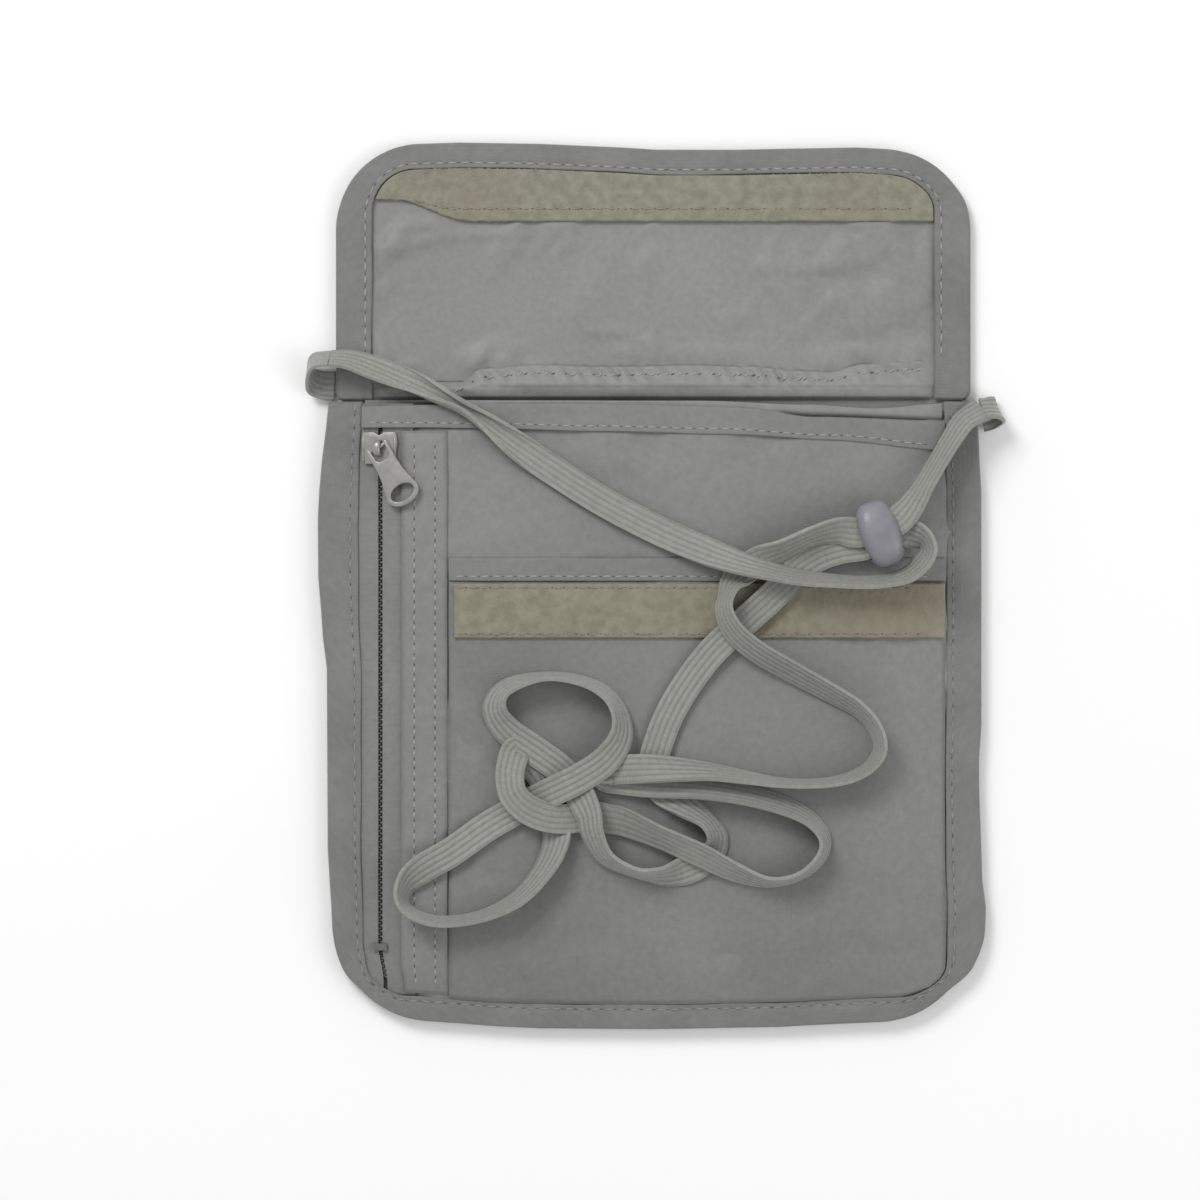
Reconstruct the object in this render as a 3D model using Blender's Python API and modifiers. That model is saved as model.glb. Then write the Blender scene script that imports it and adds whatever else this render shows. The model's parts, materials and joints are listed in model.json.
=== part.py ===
"""A neck pouch wallet that lies on its back with its flap open, and its neck cord bunched on its front.

Metres, +Z up out of the pouch's front, +Y towards the open flap's top edge, +X to the wearer's left.
The origin is at the centre of the pouch's back, on the surface that it lies on.
"""

import math

import bmesh
import bpy
from mathutils import Matrix, Vector

# Driving dimensions
BODY_WIDTH = 0.146
BODY_BOTTOM = -0.098
BODY_CORNER = 0.023
MOUTH_Y = 0.041
FLAP_WIDTH = 0.1408
FLAP_TOP = 0.098
FLAP_ROOT = 0.0416
FLAP_CORNER = 0.019
FOLD_Y = 0.0412
FOLD_Z = 0.0056

# Binding tape: how far it covers the sides and the ends, and its cloth
SIDE_COVER = 0.008
END_COVER = 0.0055
INNER_CORNER = 0.0095
BINDING_CLOTH = 0.00035
BODY_EDGE_HEIGHT = 0.0033
BODY_INNER_HEIGHT = 0.00435
FLAP_EDGE_HEIGHT = 0.00215
BINDING_FLAT = 0.93
BINDING_ROUND = 0.2

GAP = 0.0003
CLOTH = 0.00035
LINING = 0.0002
SEAM_INSET = 0.002
SHEET_STEP = 0.004
CORNER_ROWS = 0.4

# Front of the pouch: how high each layer's underside is at the side seams and in the middle
BACK_Z = 0.00065
BACK_LINING_Z = 0.0013
FRONT_LINING_Z = (0.0018, 0.0061)
FRONT_Z = (0.0023, 0.00665)
SEAM_X = 0.0675
SEAM_Y = -0.095
RISE_X = 0.020
RISE_Y = 0.020

# Zip column on the pouch's left side
ZIP_X = -0.0604
ZIP_GAP = 0.0009
ZIP_TOP = 0.0405
ZIP_END = -0.0922
TAPE_RIGHT = -0.053
FACING = (-0.0556, -0.0455)
COIL_WIDTH = 0.00115
COIL_HEIGHT = 0.001
LINING_SEAM_X = -0.057
LINING_RISE = 0.012
FACING_TOP = 0.0344
COIL_LOW = -0.0885
COIL_HIGH = 0.0375
STOP_LENGTH = 0.002
STOP_THICK = 0.0005
BOTTOM_STOP = (-0.0803, -0.0788)

# Mouth hem and patch pocket
HEM = (0.0347, 0.0406)
HEM_HALF = 0.0646
POCKET_LEFT = -0.0452
POCKET_RIGHT = 0.0645
POCKET_HEM = (0.0014, 0.0064)
POCKET_TOP = 0.0011
POCKET_HEM_THICK = 0.0008
HOOK_STRIP = (-0.0112, 0.0007)
HOOK_THICK = 0.0008
HEM_THICK = 0.0006
LOOP_STRIP_LOW = 0.0811
LINING_SEAM_Y = 0.0465

# Slider and pull, in the slider's own frame: X across the zip, Y along it, Z off the tape
SLIDER_Y = 0.0307
SLIDER_TILT = math.radians(15.6)
SLIDER_SIZE = (0.0082, 0.007, 0.0009)
SLIDER_CLEAR = 0.0003
SLIDER_BEVEL = 0.0003
KEEPER_SIZE = (0.0044, 0.0055, 0.0004)
POST_SIZE = (0.0003, 0.0024)
SLIDER_TAPER = 0.82
BRIDGE_SIZE = (0.0016, 0.0038, 0.002)
BRIDGE_BAR = 0.0006
BRIDGE_WINDOW = 0.0026
PIN_RADIUS = 0.0004
PIN_LENGTH = 0.0032
PIN_Z = 0.00205
PULL_TURN = math.radians(30)
PULL_DROOP = math.radians(2)
PULL_THICK = 0.001
PULL_LENGTH = 0.0142
EAR = (0.0019, 0.0026)
EAR_TOP = 0.0006
EAR_ROOT = -0.0034
NOTCH_DEPTH = 0.0004
SHOULDER = (0.00344, 0.002)
RING_HALF = (0.004, 0.0028)
HOLE_HALF = (0.0029, 0.0018)

# Cord adjuster bead
BEAD_CENTRE = (0.0498, 0.0117, 0.0121)
BEAD_TURN = math.radians(20)
BEAD_HALF = (0.0047, 0.0074, 0.0035)
BEAD_SQUARE = 0.6
BEAD_SLOT = (0.0098, 0.0031)

# Neck cord: a flat woven tape, with its route as centre points and the tape's roll in degrees.
# At roll 0 the tape lies flat, and at 90 it stands on edge.
CORD_WIDTH = 0.0065
CORD_THICK = 0.0009
ANCHOR_THICK = 0.0008
CORD_ROUTE = [
    (-0.0705, 0.0506, 0.0034, 0), (-0.0675, 0.0505, 0.0034, 0), (-0.0635, 0.0495, 0.0034, 0),
    (-0.0578, 0.0471, 0.0040, 0), (-0.0529, 0.0449, 0.0068, 0), (-0.0478, 0.0424, 0.0095, 0),
    (-0.0423, 0.0396, 0.0094, 0), (-0.0348, 0.0343, 0.0089, 0), (-0.0240, 0.0270, 0.0078, 0),
    (-0.0118, 0.0192, 0.0078, 0), (0.0003, 0.0128, 0.0078, 0), (0.0103, 0.0084, 0.0089, 0),
    (0.0180, 0.0055, 0.0105, 0), (0.0253, 0.0035, 0.0110, 0), (0.0324, 0.0020, 0.0110, 0),
    (0.0394, 0.0013, 0.0099, 0), (0.0461, 0.0009, 0.0096, 0), (0.0514, 0.0009, 0.0111, -35),
    (0.0562, 0.0022, 0.0116, -70), (0.0593, 0.0053, 0.0121, -90), (0.0609, 0.0080, 0.0121, -90),
    (0.0600, 0.0104, 0.0119, -75), (0.0576, 0.0117, 0.0113, -35), (0.0549, 0.0119, 0.0115, 0),
    (0.0501, 0.0104, 0.0115, 0), (0.0461, 0.0091, 0.0114, 0), (0.0417, 0.0084, 0.0106, 0),
    (0.0368, 0.0069, 0.0093, 0), (0.0328, 0.0044, 0.0090, 0), (0.0293, 0.0009, 0.0095, 0),
    (0.0249, -0.0035, 0.0097, 0), (0.0191, -0.0086, 0.0097, 0), (0.0129, -0.0144, 0.0094, 0),
    (0.0076, -0.0212, 0.0085, 0), (0.0036, -0.0281, 0.0085, 0), (0.0010, -0.0347, 0.0085, 0),
    (-0.0001, -0.0400, 0.0085, 0), (0.0019, -0.0449, 0.0085, 0), (0.0072, -0.0484, 0.0085, 0),
    (0.0120, -0.0519, 0.0088, 8), (0.0138, -0.0561, 0.0088, 8), (0.0112, -0.0603, 0.0085, 0),
    (0.0045, -0.0632, 0.0104, -40), (-0.0039, -0.0630, 0.0111, -65), (-0.0105, -0.0599, 0.0100, -30),
    (-0.0134, -0.0546, 0.0106, 0), (-0.0140, -0.0504, 0.0112, 0), (-0.0162, -0.0457, 0.0104, 0),
    (-0.0202, -0.0407, 0.0098, 0), (-0.0264, -0.0360, 0.0095, 0), (-0.0324, -0.0318, 0.0087, 0),
    (-0.0350, -0.0270, 0.0100, 30), (-0.0322, -0.0223, 0.0111, 70), (-0.0244, -0.0203, 0.0114, 90),
    (-0.0171, -0.0208, 0.0114, 88), (-0.0114, -0.0234, 0.0112, 75), (-0.0081, -0.0276, 0.0107, 50),
    (-0.0074, -0.0327, 0.0108, 20), (-0.0105, -0.0382, 0.0111, 0), (-0.0162, -0.0422, 0.0112, 0),
    (-0.0224, -0.0453, 0.0111, 0), (-0.0264, -0.0473, 0.0098, 0), (-0.0306, -0.0495, 0.0086, 0),
    (-0.0370, -0.0533, 0.0085, 0), (-0.0445, -0.0586, 0.0085, 0), (-0.0507, -0.0621, 0.0090, 12),
    (-0.0547, -0.0652, 0.0104, 50), (-0.0558, -0.0690, 0.0112, 85), (-0.0534, -0.0723, 0.0114, 90),
    (-0.0472, -0.0740, 0.0114, 90), (-0.0383, -0.0734, 0.0112, 80), (-0.0299, -0.0694, 0.0106, 45),
    (-0.0244, -0.0630, 0.0087, 5), (-0.0220, -0.0570, 0.0085, 0), (-0.0215, -0.0511, 0.0085, 0),
    (-0.0227, -0.0460, 0.0085, 0), (-0.0249, -0.0415, 0.0085, 0), (-0.0282, -0.0378, 0.0085, 0),
    (-0.0299, -0.0360, 0.0091, 0), (-0.0308, -0.0373, 0.0099, 0), (-0.0317, -0.0415, 0.0104, 0),
    (-0.0311, -0.0457, 0.0111, 0), (-0.0282, -0.0488, 0.0110, 0), (-0.0240, -0.0508, 0.0101, 0),
    (-0.0193, -0.0513, 0.0098, 0), (-0.0136, -0.0506, 0.0098, 0), (-0.0070, -0.0515, 0.0094, 0),
    (0.0010, -0.0548, 0.0098, 0), (0.0103, -0.0592, 0.0098, 0), (0.0180, -0.0630, 0.0094, -15),
    (0.0253, -0.0650, 0.0110, -60), (0.0319, -0.0641, 0.0113, -88), (0.0366, -0.0603, 0.0113, -90),
    (0.0377, -0.0559, 0.0113, -85), (0.0350, -0.0517, 0.0108, -50), (0.0293, -0.0486, 0.0093, -10),
    (0.0202, -0.0460, 0.0097, 0), (0.0103, -0.0444, 0.0098, 0), (0.0003, -0.0435, 0.0098, 0),
    (-0.0065, -0.0427, 0.0087, 0), (-0.0105, -0.0420, 0.0091, 0), (-0.0101, -0.0407, 0.0100, 0),
    (-0.0052, -0.0402, 0.0105, 0), (0.0014, -0.0404, 0.0111, 0), (0.0114, -0.0409, 0.0111, 0),
    (0.0202, -0.0422, 0.0111, 30), (0.0291, -0.0438, 0.0114, 80), (0.0390, -0.0435, 0.0114, 90),
    (0.0461, -0.0413, 0.0114, 90), (0.0498, -0.0367, 0.0114, 90), (0.0492, -0.0316, 0.0114, 80),
    (0.0452, -0.0270, 0.0106, 45), (0.0390, -0.0234, 0.0089, 10), (0.0302, -0.0186, 0.0091, 0),
    (0.0229, -0.0144, 0.0109, 0), (0.0178, -0.0099, 0.0111, 8), (0.0154, -0.0051, 0.0111, 25),
    (0.0162, -0.0007, 0.0108, 25), (0.0191, 0.0031, 0.0097, 5), (0.0235, 0.0062, 0.0090, 5),
    (0.0288, 0.0088, 0.0102, 40), (0.0350, 0.0117, 0.0111, 65), (0.0412, 0.0128, 0.0120, 45),
    (0.0452, 0.0115, 0.0127, 0), (0.0501, 0.0128, 0.0127, 0), (0.0538, 0.0146, 0.0127, 0),
    (0.0567, 0.0175, 0.0116, 0), (0.0596, 0.0221, 0.0096, 0), (0.0629, 0.0276, 0.0074, -8),
    (0.0660, 0.0329, 0.0056, -10), (0.0688, 0.0371, 0.0049, 0), (0.0711, 0.0391, 0.0047, 0),
    (0.0731, 0.0391, 0.0043, 0),
]

# Folded tape ends that are sewn in at the pouch's top corners, as points of their middle surface
LEFT_ANCHOR = [
    (-0.0709, 0.0449, 0.0005), (-0.0746, 0.0464, 0.0005), (-0.0760, 0.0474, 0.0010),
    (-0.0764, 0.0480, 0.00195), (-0.0760, 0.0487, 0.0029), (-0.0746, 0.0496, 0.0034),
    (-0.0709, 0.0506, 0.0034),
]
RIGHT_ANCHOR = [
    (0.0735, 0.0379, 0.0005), (0.0752, 0.0381, 0.0005), (0.0761, 0.0383, 0.0012),
    (0.0764, 0.0385, 0.0024), (0.0761, 0.0387, 0.0036), (0.0752, 0.0389, 0.0043),
    (0.0735, 0.0391, 0.0043),
]

COLOURS = {
    "taffeta": (0.27, 0.27, 0.265),
    "lining": (0.25, 0.25, 0.245),
    "binding": (0.21, 0.21, 0.205),
    "hook_and_loop": (0.27, 0.255, 0.2),
    "zip_tape": (0.22, 0.225, 0.225),
    "coil": (0.12, 0.12, 0.12),
    "cord": (0.29, 0.29, 0.26),
    "bead": (0.23, 0.23, 0.24),
    "metal": (0.42, 0.42, 0.4),
}


def clear_scene():
    for thing in list(bpy.data.objects):
        bpy.data.objects.remove(thing, do_unlink=True)


def new_collection(name):
    collection = bpy.data.collections.new(name)
    bpy.context.scene.collection.children.link(collection)
    return collection


def material_for(finish):
    made = bpy.data.materials.get(finish) or bpy.data.materials.new(finish)
    made.use_nodes = True
    shader = made.node_tree.nodes["Principled BSDF"]
    shader.inputs["Base Color"].default_value = (*COLOURS[finish], 1.0)
    shader.inputs["Roughness"].default_value = 0.35 if finish == "metal" else 0.85
    shader.inputs["Metallic"].default_value = 1.0 if finish == "metal" else 0.0
    return made


def add_object(name, bm, finish, collection):
    mesh = bpy.data.meshes.new(name)
    bm.to_mesh(mesh)
    bm.free()
    made = bpy.data.objects.new(name, mesh)
    collection.objects.link(made)
    mesh.materials.append(material_for(finish))
    return made


def mapped_sheet(name, columns, rows, place, thickness, finish, offset=1.0):
    """A grid whose vertices go to place(u, v), with u and v from 0 to 1.

    Offset 1 grows the cloth along the grid's normals, 0 grows it both ways and -1 against them.
    """
    bm = bmesh.new()
    bmesh.ops.create_grid(bm, x_segments=columns, y_segments=rows, size=1.0)
    for vertex in bm.verts:
        vertex.co = place((vertex.co.x + 1) / 2, (vertex.co.y + 1) / 2)
    made = add_object(name, bm, finish, PARTS)
    cloth = made.modifiers.new("cloth", "SOLIDIFY")
    cloth.thickness = thickness
    cloth.offset = offset
    cloth.use_even_offset = False
    return made


def ease(t):
    """Rises steeply from 0 and levels off at 1, like cloth drawn up from a seam."""
    return 1 - (1 - min(max(t, 0.0), 1.0)) ** 2


def between(low, high, share):
    return low + (high - low) * share


def rise(x, y):
    return ease((SEAM_X - abs(x)) / RISE_X) * ease((y - SEAM_Y) / RISE_Y)


def front_z(x, y):
    """Underside of the front panel and of the zip tapes beside it."""
    return between(*FRONT_Z, rise(x, y))


def over_front_z(x, y):
    """Underside of what is sewn on the front panel."""
    return front_z(x, y) + CLOTH + GAP


def over_pocket_z(x, y):
    return over_front_z(x, y) + CLOTH + GAP


def tape_top_z(x, y):
    return front_z(x, y) + CLOTH


def under_tape_z(x, y):
    return front_z(x, y) - GAP


def front_lining_z(x, y):
    """Underside of the zip pocket's back wall, which dips under the zip to clear its slider."""
    share = min(ease((SEAM_X - x) / RISE_X), ease((x - LINING_SEAM_X) / LINING_RISE))
    return between(*FRONT_LINING_Z, share * ease((y - SEAM_Y) / RISE_Y))


class Outline:
    """Straight sides and one end with round corners; the other end, the root, is open."""

    def __init__(self, half, corner, end, root):
        self.half = half
        self.corner = corner
        self.end = end
        self.root = root
        self.way = 1 if end > root else -1

    def inset(self, side, end, corner):
        return Outline(self.half - side, corner, self.end - self.way * end, self.root)

    def half_at(self, y):
        depth = min(max(self.way * (self.end - y), 0.0), self.corner)
        return self.half - self.corner + math.sqrt(self.corner**2 - (self.corner - depth) ** 2)

    def row_at(self, v):
        """The y of the row at v. The first rows go round the corners and the others up the sides."""
        shoulder = self.end - self.way * self.corner
        if v < CORNER_ROWS:
            return shoulder + self.way * self.corner * math.cos(v / CORNER_ROWS * math.pi / 2)
        return between(shoulder, self.root, (v - CORNER_ROWS) / (1 - CORNER_ROWS))

    def rim(self, v):
        """A point on the outline, from the left root at v = 0 round the end to the right root at 1."""
        mirror = -1 if v < 0.5 else 1
        t = min(v, 1 - v) * 2
        shoulder = self.end - self.way * self.corner
        if t <= 0.25:
            return Vector((mirror * self.half, between(self.root, shoulder, t / 0.25), 0))
        if t <= 0.75:
            angle = (t - 0.25) * math.pi
            x = self.half - self.corner * (1 - math.cos(angle))
            return Vector((mirror * x, shoulder + self.way * self.corner * math.sin(angle), 0))
        x = between(self.half - self.corner, 0, (t - 0.75) / 0.25)
        return Vector((mirror * x, self.end, 0))


def full_sheet(name, outline, height, thickness, finish, columns=8, rows=14):
    """A sheet that fills an outline from its rounded end to its root."""

    def place(u, v):
        y = outline.row_at(v)
        x = -outline.way * (2 * u - 1) * outline.half_at(y)
        return Vector((x, y, height(x, y)))

    return mapped_sheet(name, columns, rows, place, thickness, finish)


def strip(name, sides, ends, height, thickness, finish, offset=1.0, outline=None):
    """A sheet between two sides and two ends. It stays in an outline."""
    low, high = sides

    def place(u, v):
        y = between(*ends, v)
        reach = outline.half_at(y) if outline else BODY_WIDTH
        x = between(max(low, -reach), min(high, reach), u)
        return Vector((x, y, height(x, y)))

    columns = math.ceil((high - low) / SHEET_STEP)
    rows = math.ceil((ends[1] - ends[0]) / SHEET_STEP)
    return mapped_sheet(name, columns, rows, place, thickness, finish, offset)


def binding(name, outline, inner, height, inner_height, rows):
    """Tape folded round the edge. Its section runs along the back, round the edge and along the front."""
    under = [(0, 0), (BINDING_FLAT, 0), (1, BINDING_ROUND * height)]
    over = [(1, (1 - BINDING_ROUND) * height), (BINDING_FLAT, height), (0, inner_height)]
    section = under + over

    def place(u, v):
        share, level = section[round(u * (len(section) - 1))]
        point = inner.rim(v).lerp(outline.rim(v), share)
        point.z = level
        return point

    inwards = -outline.way
    return mapped_sheet(name, len(section) - 1, rows, place, BINDING_CLOTH, "binding", inwards)


def make_pouch():
    """The pouch's cloth, from the back to the front."""
    in_seam = BODY.inset(SEAM_INSET, SEAM_INSET, BODY_CORNER - SEAM_INSET)
    inner = BODY.inset(SIDE_COVER, END_COVER, INNER_CORNER)
    visible = inner.inset(GAP, GAP, INNER_CORNER - GAP)
    binding("body_binding", BODY, inner, BODY_EDGE_HEIGHT, BODY_INNER_HEIGHT, 36)
    full_sheet("back_panel", in_seam, lambda x, y: BACK_Z, CLOTH, "taffeta")
    full_sheet("back_lining", in_seam, lambda x, y: BACK_LINING_Z, LINING, "lining")
    full_sheet("zip_pocket_lining", in_seam, front_lining_z, LINING, "lining", 36, 36)

    panel = (TAPE_RIGHT + GAP, in_seam.half)
    pocket = (POCKET_LEFT, POCKET_RIGHT)
    strip("front_panel", panel, (in_seam.end + GAP, MOUTH_Y), front_z, CLOTH, "taffeta", 1.0, in_seam)
    strip("mouth_hem", (-HEM_HALF, HEM_HALF), HEM, over_front_z, HEM_THICK, "taffeta")
    strip("patch_pocket_panel", pocket, (visible.end, POCKET_TOP), over_front_z, CLOTH, "taffeta",
          1.0, visible)
    strip("patch_pocket_hem", pocket, POCKET_HEM, over_front_z, POCKET_HEM_THICK, "taffeta")
    strip("pocket_hook_strip", pocket, HOOK_STRIP, over_pocket_z, HOOK_THICK, "hook_and_loop")


def make_zip():
    """The zip along the pouch's left side, closed, with its slider at the top."""
    in_seam = BODY.inset(SEAM_INSET, SEAM_INSET, BODY_CORNER - SEAM_INSET)
    left = ZIP_X - ZIP_GAP / 2
    right = ZIP_X + ZIP_GAP / 2
    run = (ZIP_END, ZIP_TOP)
    strip("zip_tape_left", (-in_seam.half, left), run, tape_top_z, CLOTH, "zip_tape", -1.0, in_seam)
    strip("zip_tape_right", (right, TAPE_RIGHT), run, tape_top_z, CLOTH, "zip_tape", -1.0, in_seam)
    strip("zip_facing", FACING, (ZIP_END, FACING_TOP), over_front_z, CLOTH, "taffeta")
    lean = (CLOTH + GAP) * math.sin(SLIDER_TILT)
    left_coil = (left - COIL_WIDTH + lean, left + lean)
    right_coil = (right + lean, right + COIL_WIDTH + lean)
    coil = (COIL_LOW, COIL_HIGH)
    stop = (COIL_HIGH + GAP, COIL_HIGH + STOP_LENGTH)
    strip("zip_coil_left", left_coil, coil, under_tape_z, COIL_HEIGHT, "coil", -1.0)
    strip("zip_coil_right", right_coil, coil, under_tape_z, COIL_HEIGHT, "coil", -1.0)
    strip("zip_top_stop_left", left_coil, stop, under_tape_z, COIL_HEIGHT, "metal", -1.0)
    strip("zip_top_stop_right", right_coil, stop, under_tape_z, COIL_HEIGHT, "metal", -1.0)
    strip("zip_bottom_stop", (left - COIL_WIDTH, right + COIL_WIDTH), BOTTOM_STOP, over_front_z,
          STOP_THICK, "metal")


def box(size, centre):
    bm = bmesh.new()
    bmesh.ops.create_cube(bm, size=1.0)
    bmesh.ops.scale(bm, vec=size, verts=bm.verts)
    bmesh.ops.translate(bm, vec=centre, verts=bm.verts)
    return bm


def join(base, tools, operation, frame):
    """Cuts or adds each tool, an object in base's own frame, and puts base at frame."""
    for tool in tools:
        tool.hide_render = True
        tool.display_type = "WIRE"
        tool.matrix_world = frame
        cut = base.modifiers.new(tool.name, "BOOLEAN")
        cut.operation = operation
        cut.solver = "EXACT"
        cut.object = tool
    base.matrix_world = frame


def slider_frame():
    """The slider's own frame: its origin in the middle of the zip, on top of the tapes."""
    top = front_z(ZIP_X, SLIDER_Y) + CLOTH
    turn = Matrix.Rotation(-SLIDER_TILT, 4, "Y")
    return Matrix.Translation((ZIP_X, SLIDER_Y, top)) @ turn


def make_slider():
    frame = slider_frame()
    width, length, height = SLIDER_SIZE
    bm = box(SLIDER_SIZE, (0, 0, SLIDER_CLEAR + height / 2))
    for vertex in bm.verts:
        if vertex.co.y < 0:
            vertex.co.x *= SLIDER_TAPER
    bmesh.ops.bevel(bm, geom=bm.edges[:], offset=SLIDER_BEVEL, segments=2, affect="EDGES", profile=0.5,
                    material=-1)
    body = add_object("zip_slider_body", bm, "metal", PARTS)

    plate_top = SLIDER_CLEAR + height
    keeper_top = -(CLOTH + GAP + COIL_HEIGHT + GAP)
    keeper = box(KEEPER_SIZE, (0, 0, keeper_top - KEEPER_SIZE[2] / 2))
    post_high = plate_top - height / 2
    post_low = keeper_top - KEEPER_SIZE[2] / 2
    post = box((*POST_SIZE, post_high - post_low), (0, 0, (post_high + post_low) / 2))
    sunk = plate_top - height / 2
    bridge = box((BRIDGE_SIZE[0], BRIDGE_SIZE[1], plate_top + BRIDGE_SIZE[2] - sunk),
                 (0, 0, (plate_top + BRIDGE_SIZE[2] + sunk) / 2))
    tools = [add_object(f"cutter_{n}", b, "metal", CUTTERS)
             for n, b in (("keeper", keeper), ("post", post), ("bridge", bridge))]
    join(body, tools, "UNION", frame)
    window_height = BRIDGE_SIZE[2] - BRIDGE_BAR
    window = box((SLIDER_SIZE[0], BRIDGE_WINDOW, window_height),
                 (0, 0, plate_top + window_height / 2))
    join(body, [add_object("cutter_window", window, "metal", CUTTERS)], "DIFFERENCE", frame)


def pull_frame():
    """The pull's own frame: X across it, -Y along it to its tip, and its origin on the cross pin."""
    turn = Matrix.Rotation(PULL_TURN, 4, "Z") @ Matrix.Rotation(PULL_DROOP, 4, "X")
    return slider_frame() @ Matrix.Translation((0, 0, PIN_Z)) @ turn


def make_pull():
    bm = bmesh.new()
    bmesh.ops.create_cone(bm, cap_ends=True, segments=12, radius1=PIN_RADIUS, radius2=PIN_RADIUS,
                          depth=PIN_LENGTH, matrix=Matrix.Rotation(math.pi / 2, 4, "Y"))
    pin = add_object("zip_pull_pin", bm, "metal", PARTS)
    pin.matrix_world = pull_frame()

    ring_y = -(PULL_LENGTH - RING_HALF[1])
    side = [(EAR[0], EAR_TOP), (EAR[1], EAR_TOP), (EAR[1], EAR_ROOT), (SHOULDER[0], ring_y + SHOULDER[1])]
    arc = [(RING_HALF[0] * math.cos(a), ring_y - RING_HALF[1] * math.sin(a))
           for a in (i * math.pi / 8 for i in range(9))]
    notch = [(EAR[0], EAR_ROOT + NOTCH_DEPTH)]
    outline = side + arc + [(-x, y) for x, y in reversed(side)] + [(-x, y) for x, y in notch] + notch
    hole = [(HOLE_HALF[0] * math.cos(i * math.pi / 8), ring_y - HOLE_HALF[1] * math.sin(i * math.pi / 8))
            for i in range(16)]
    flat = bpy.data.curves.new("zip_pull_tab", "CURVE")
    flat.dimensions = "2D"
    flat.fill_mode = "BOTH"
    flat.extrude = PULL_THICK / 2
    flat.resolution_u = 1
    flat.render_resolution_u = 0
    for points in (outline, hole):
        spline = flat.splines.new("POLY")
        spline.points.add(len(points) - 1)
        for point, (x, y) in zip(spline.points, points):
            point.co = (x, y, 0, 1)
        spline.use_cyclic_u = True
    flat.materials.append(material_for("metal"))
    tab = bpy.data.objects.new("zip_pull_tab", flat)
    PARTS.objects.link(tab)
    tab.matrix_world = pull_frame()


def make_bead():
    """A flattened barrel with one flat bore, through which both ends of the cord pass side by side."""
    frame = Matrix.Translation(BEAD_CENTRE) @ Matrix.Rotation(BEAD_TURN, 4, "Z")
    bm = bmesh.new()
    bmesh.ops.create_uvsphere(bm, u_segments=20, v_segments=10, radius=1.0)
    for vertex in bm.verts:
        x, y, z = vertex.co
        x = math.copysign(abs(x) ** BEAD_SQUARE, x)
        vertex.co = Vector((x * BEAD_HALF[0], y * BEAD_HALF[1], z * BEAD_HALF[2]))
    bead = add_object("cord_bead", bm, "bead", PARTS)
    slot = box((BEAD_HALF[0] * 3, *BEAD_SLOT), (0, 0, 0))
    join(bead, [add_object("cutter_slot", slot, "bead", CUTTERS)], "DIFFERENCE", frame)


def hang(name, place, pieces):
    """An empty on a joint's axis, which carries the pieces that turn about it."""
    empty = bpy.data.objects.new(name, None)
    PARTS.objects.link(empty)
    empty.matrix_world = Matrix.Translation(place)
    for piece in pieces:
        piece.parent = empty
        piece.matrix_parent_inverse = Matrix.Translation(place).inverted()


def make_flap():
    in_seam = FLAP.inset(SEAM_INSET, SEAM_INSET, FLAP_CORNER - SEAM_INSET)
    inner = FLAP.inset(SIDE_COVER, END_COVER, INNER_CORNER)
    edge = binding("flap_binding", FLAP, inner, FLAP_EDGE_HEIGHT, FLAP_EDGE_HEIGHT, 30)
    outer = full_sheet("flap_outer_panel", in_seam, lambda x, y: BACK_Z, CLOTH, "taffeta")
    lined = Outline(in_seam.half, in_seam.corner, in_seam.end, LINING_SEAM_Y)
    lining = full_sheet("flap_lining", lined, lambda x, y: BACK_LINING_Z, LINING, "lining")
    root = strip("flap_root_lining", (-in_seam.half, in_seam.half), (FLAP_ROOT, LINING_SEAM_Y - GAP),
                 lambda x, y: BACK_LINING_Z, LINING, "lining")
    visible = inner.inset(GAP, GAP, INNER_CORNER - GAP)
    sewn = Outline(visible.half, visible.corner, visible.end, LOOP_STRIP_LOW)
    loop = full_sheet("flap_loop_strip", sewn, lambda x, y: BACK_LINING_Z + LINING + GAP, HOOK_THICK,
                      "hook_and_loop")
    hang("flap_fold", (0, FOLD_Y, FOLD_Z), [edge, outer, lining, root, loop])


def anchor(name, points):
    """A tape end folded over itself. Its width runs along Y, so that the fold leans with its points."""
    line = [Vector(p) for p in points]

    def place(u, v):
        middle = line[round(v * (len(line) - 1))]
        return middle + Vector((0, (u - 0.5) * CORD_WIDTH, 0))

    mapped_sheet(name, 1, len(line) - 1, place, ANCHOR_THICK, "cord", 0.0)


def tape_sections(route):
    """The centre and the half-width vector of the flat cord at each of the route's points."""
    centres = [Vector(r[:3]) for r in route]
    sections = []
    for i, (x, y, z, roll) in enumerate(route):
        ahead = centres[min(i + 1, len(route) - 1)] - centres[max(i - 1, 0)]
        level = ahead.cross(Vector((0, 0, 1))).normalized()
        upright = level.cross(ahead).normalized()
        roll = math.radians(roll)
        side = (level * math.cos(roll) + upright * math.sin(roll)) * CORD_WIDTH / 2
        if sections and side.dot(sections[-1][1]) < 0:
            side = -side
        sections.append((centres[i], side))
    return sections


def make_cord():
    anchor("cord_anchor_left", LEFT_ANCHOR)
    anchor("cord_anchor_right", RIGHT_ANCHOR)
    sections = tape_sections(CORD_ROUTE)

    def place(u, v):
        centre, side = sections[round(v * (len(sections) - 1))]
        return centre + side * (2 * u - 1)

    mapped_sheet("neck_cord", 1, len(sections) - 1, place, CORD_THICK, "cord", 0.0)


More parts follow.
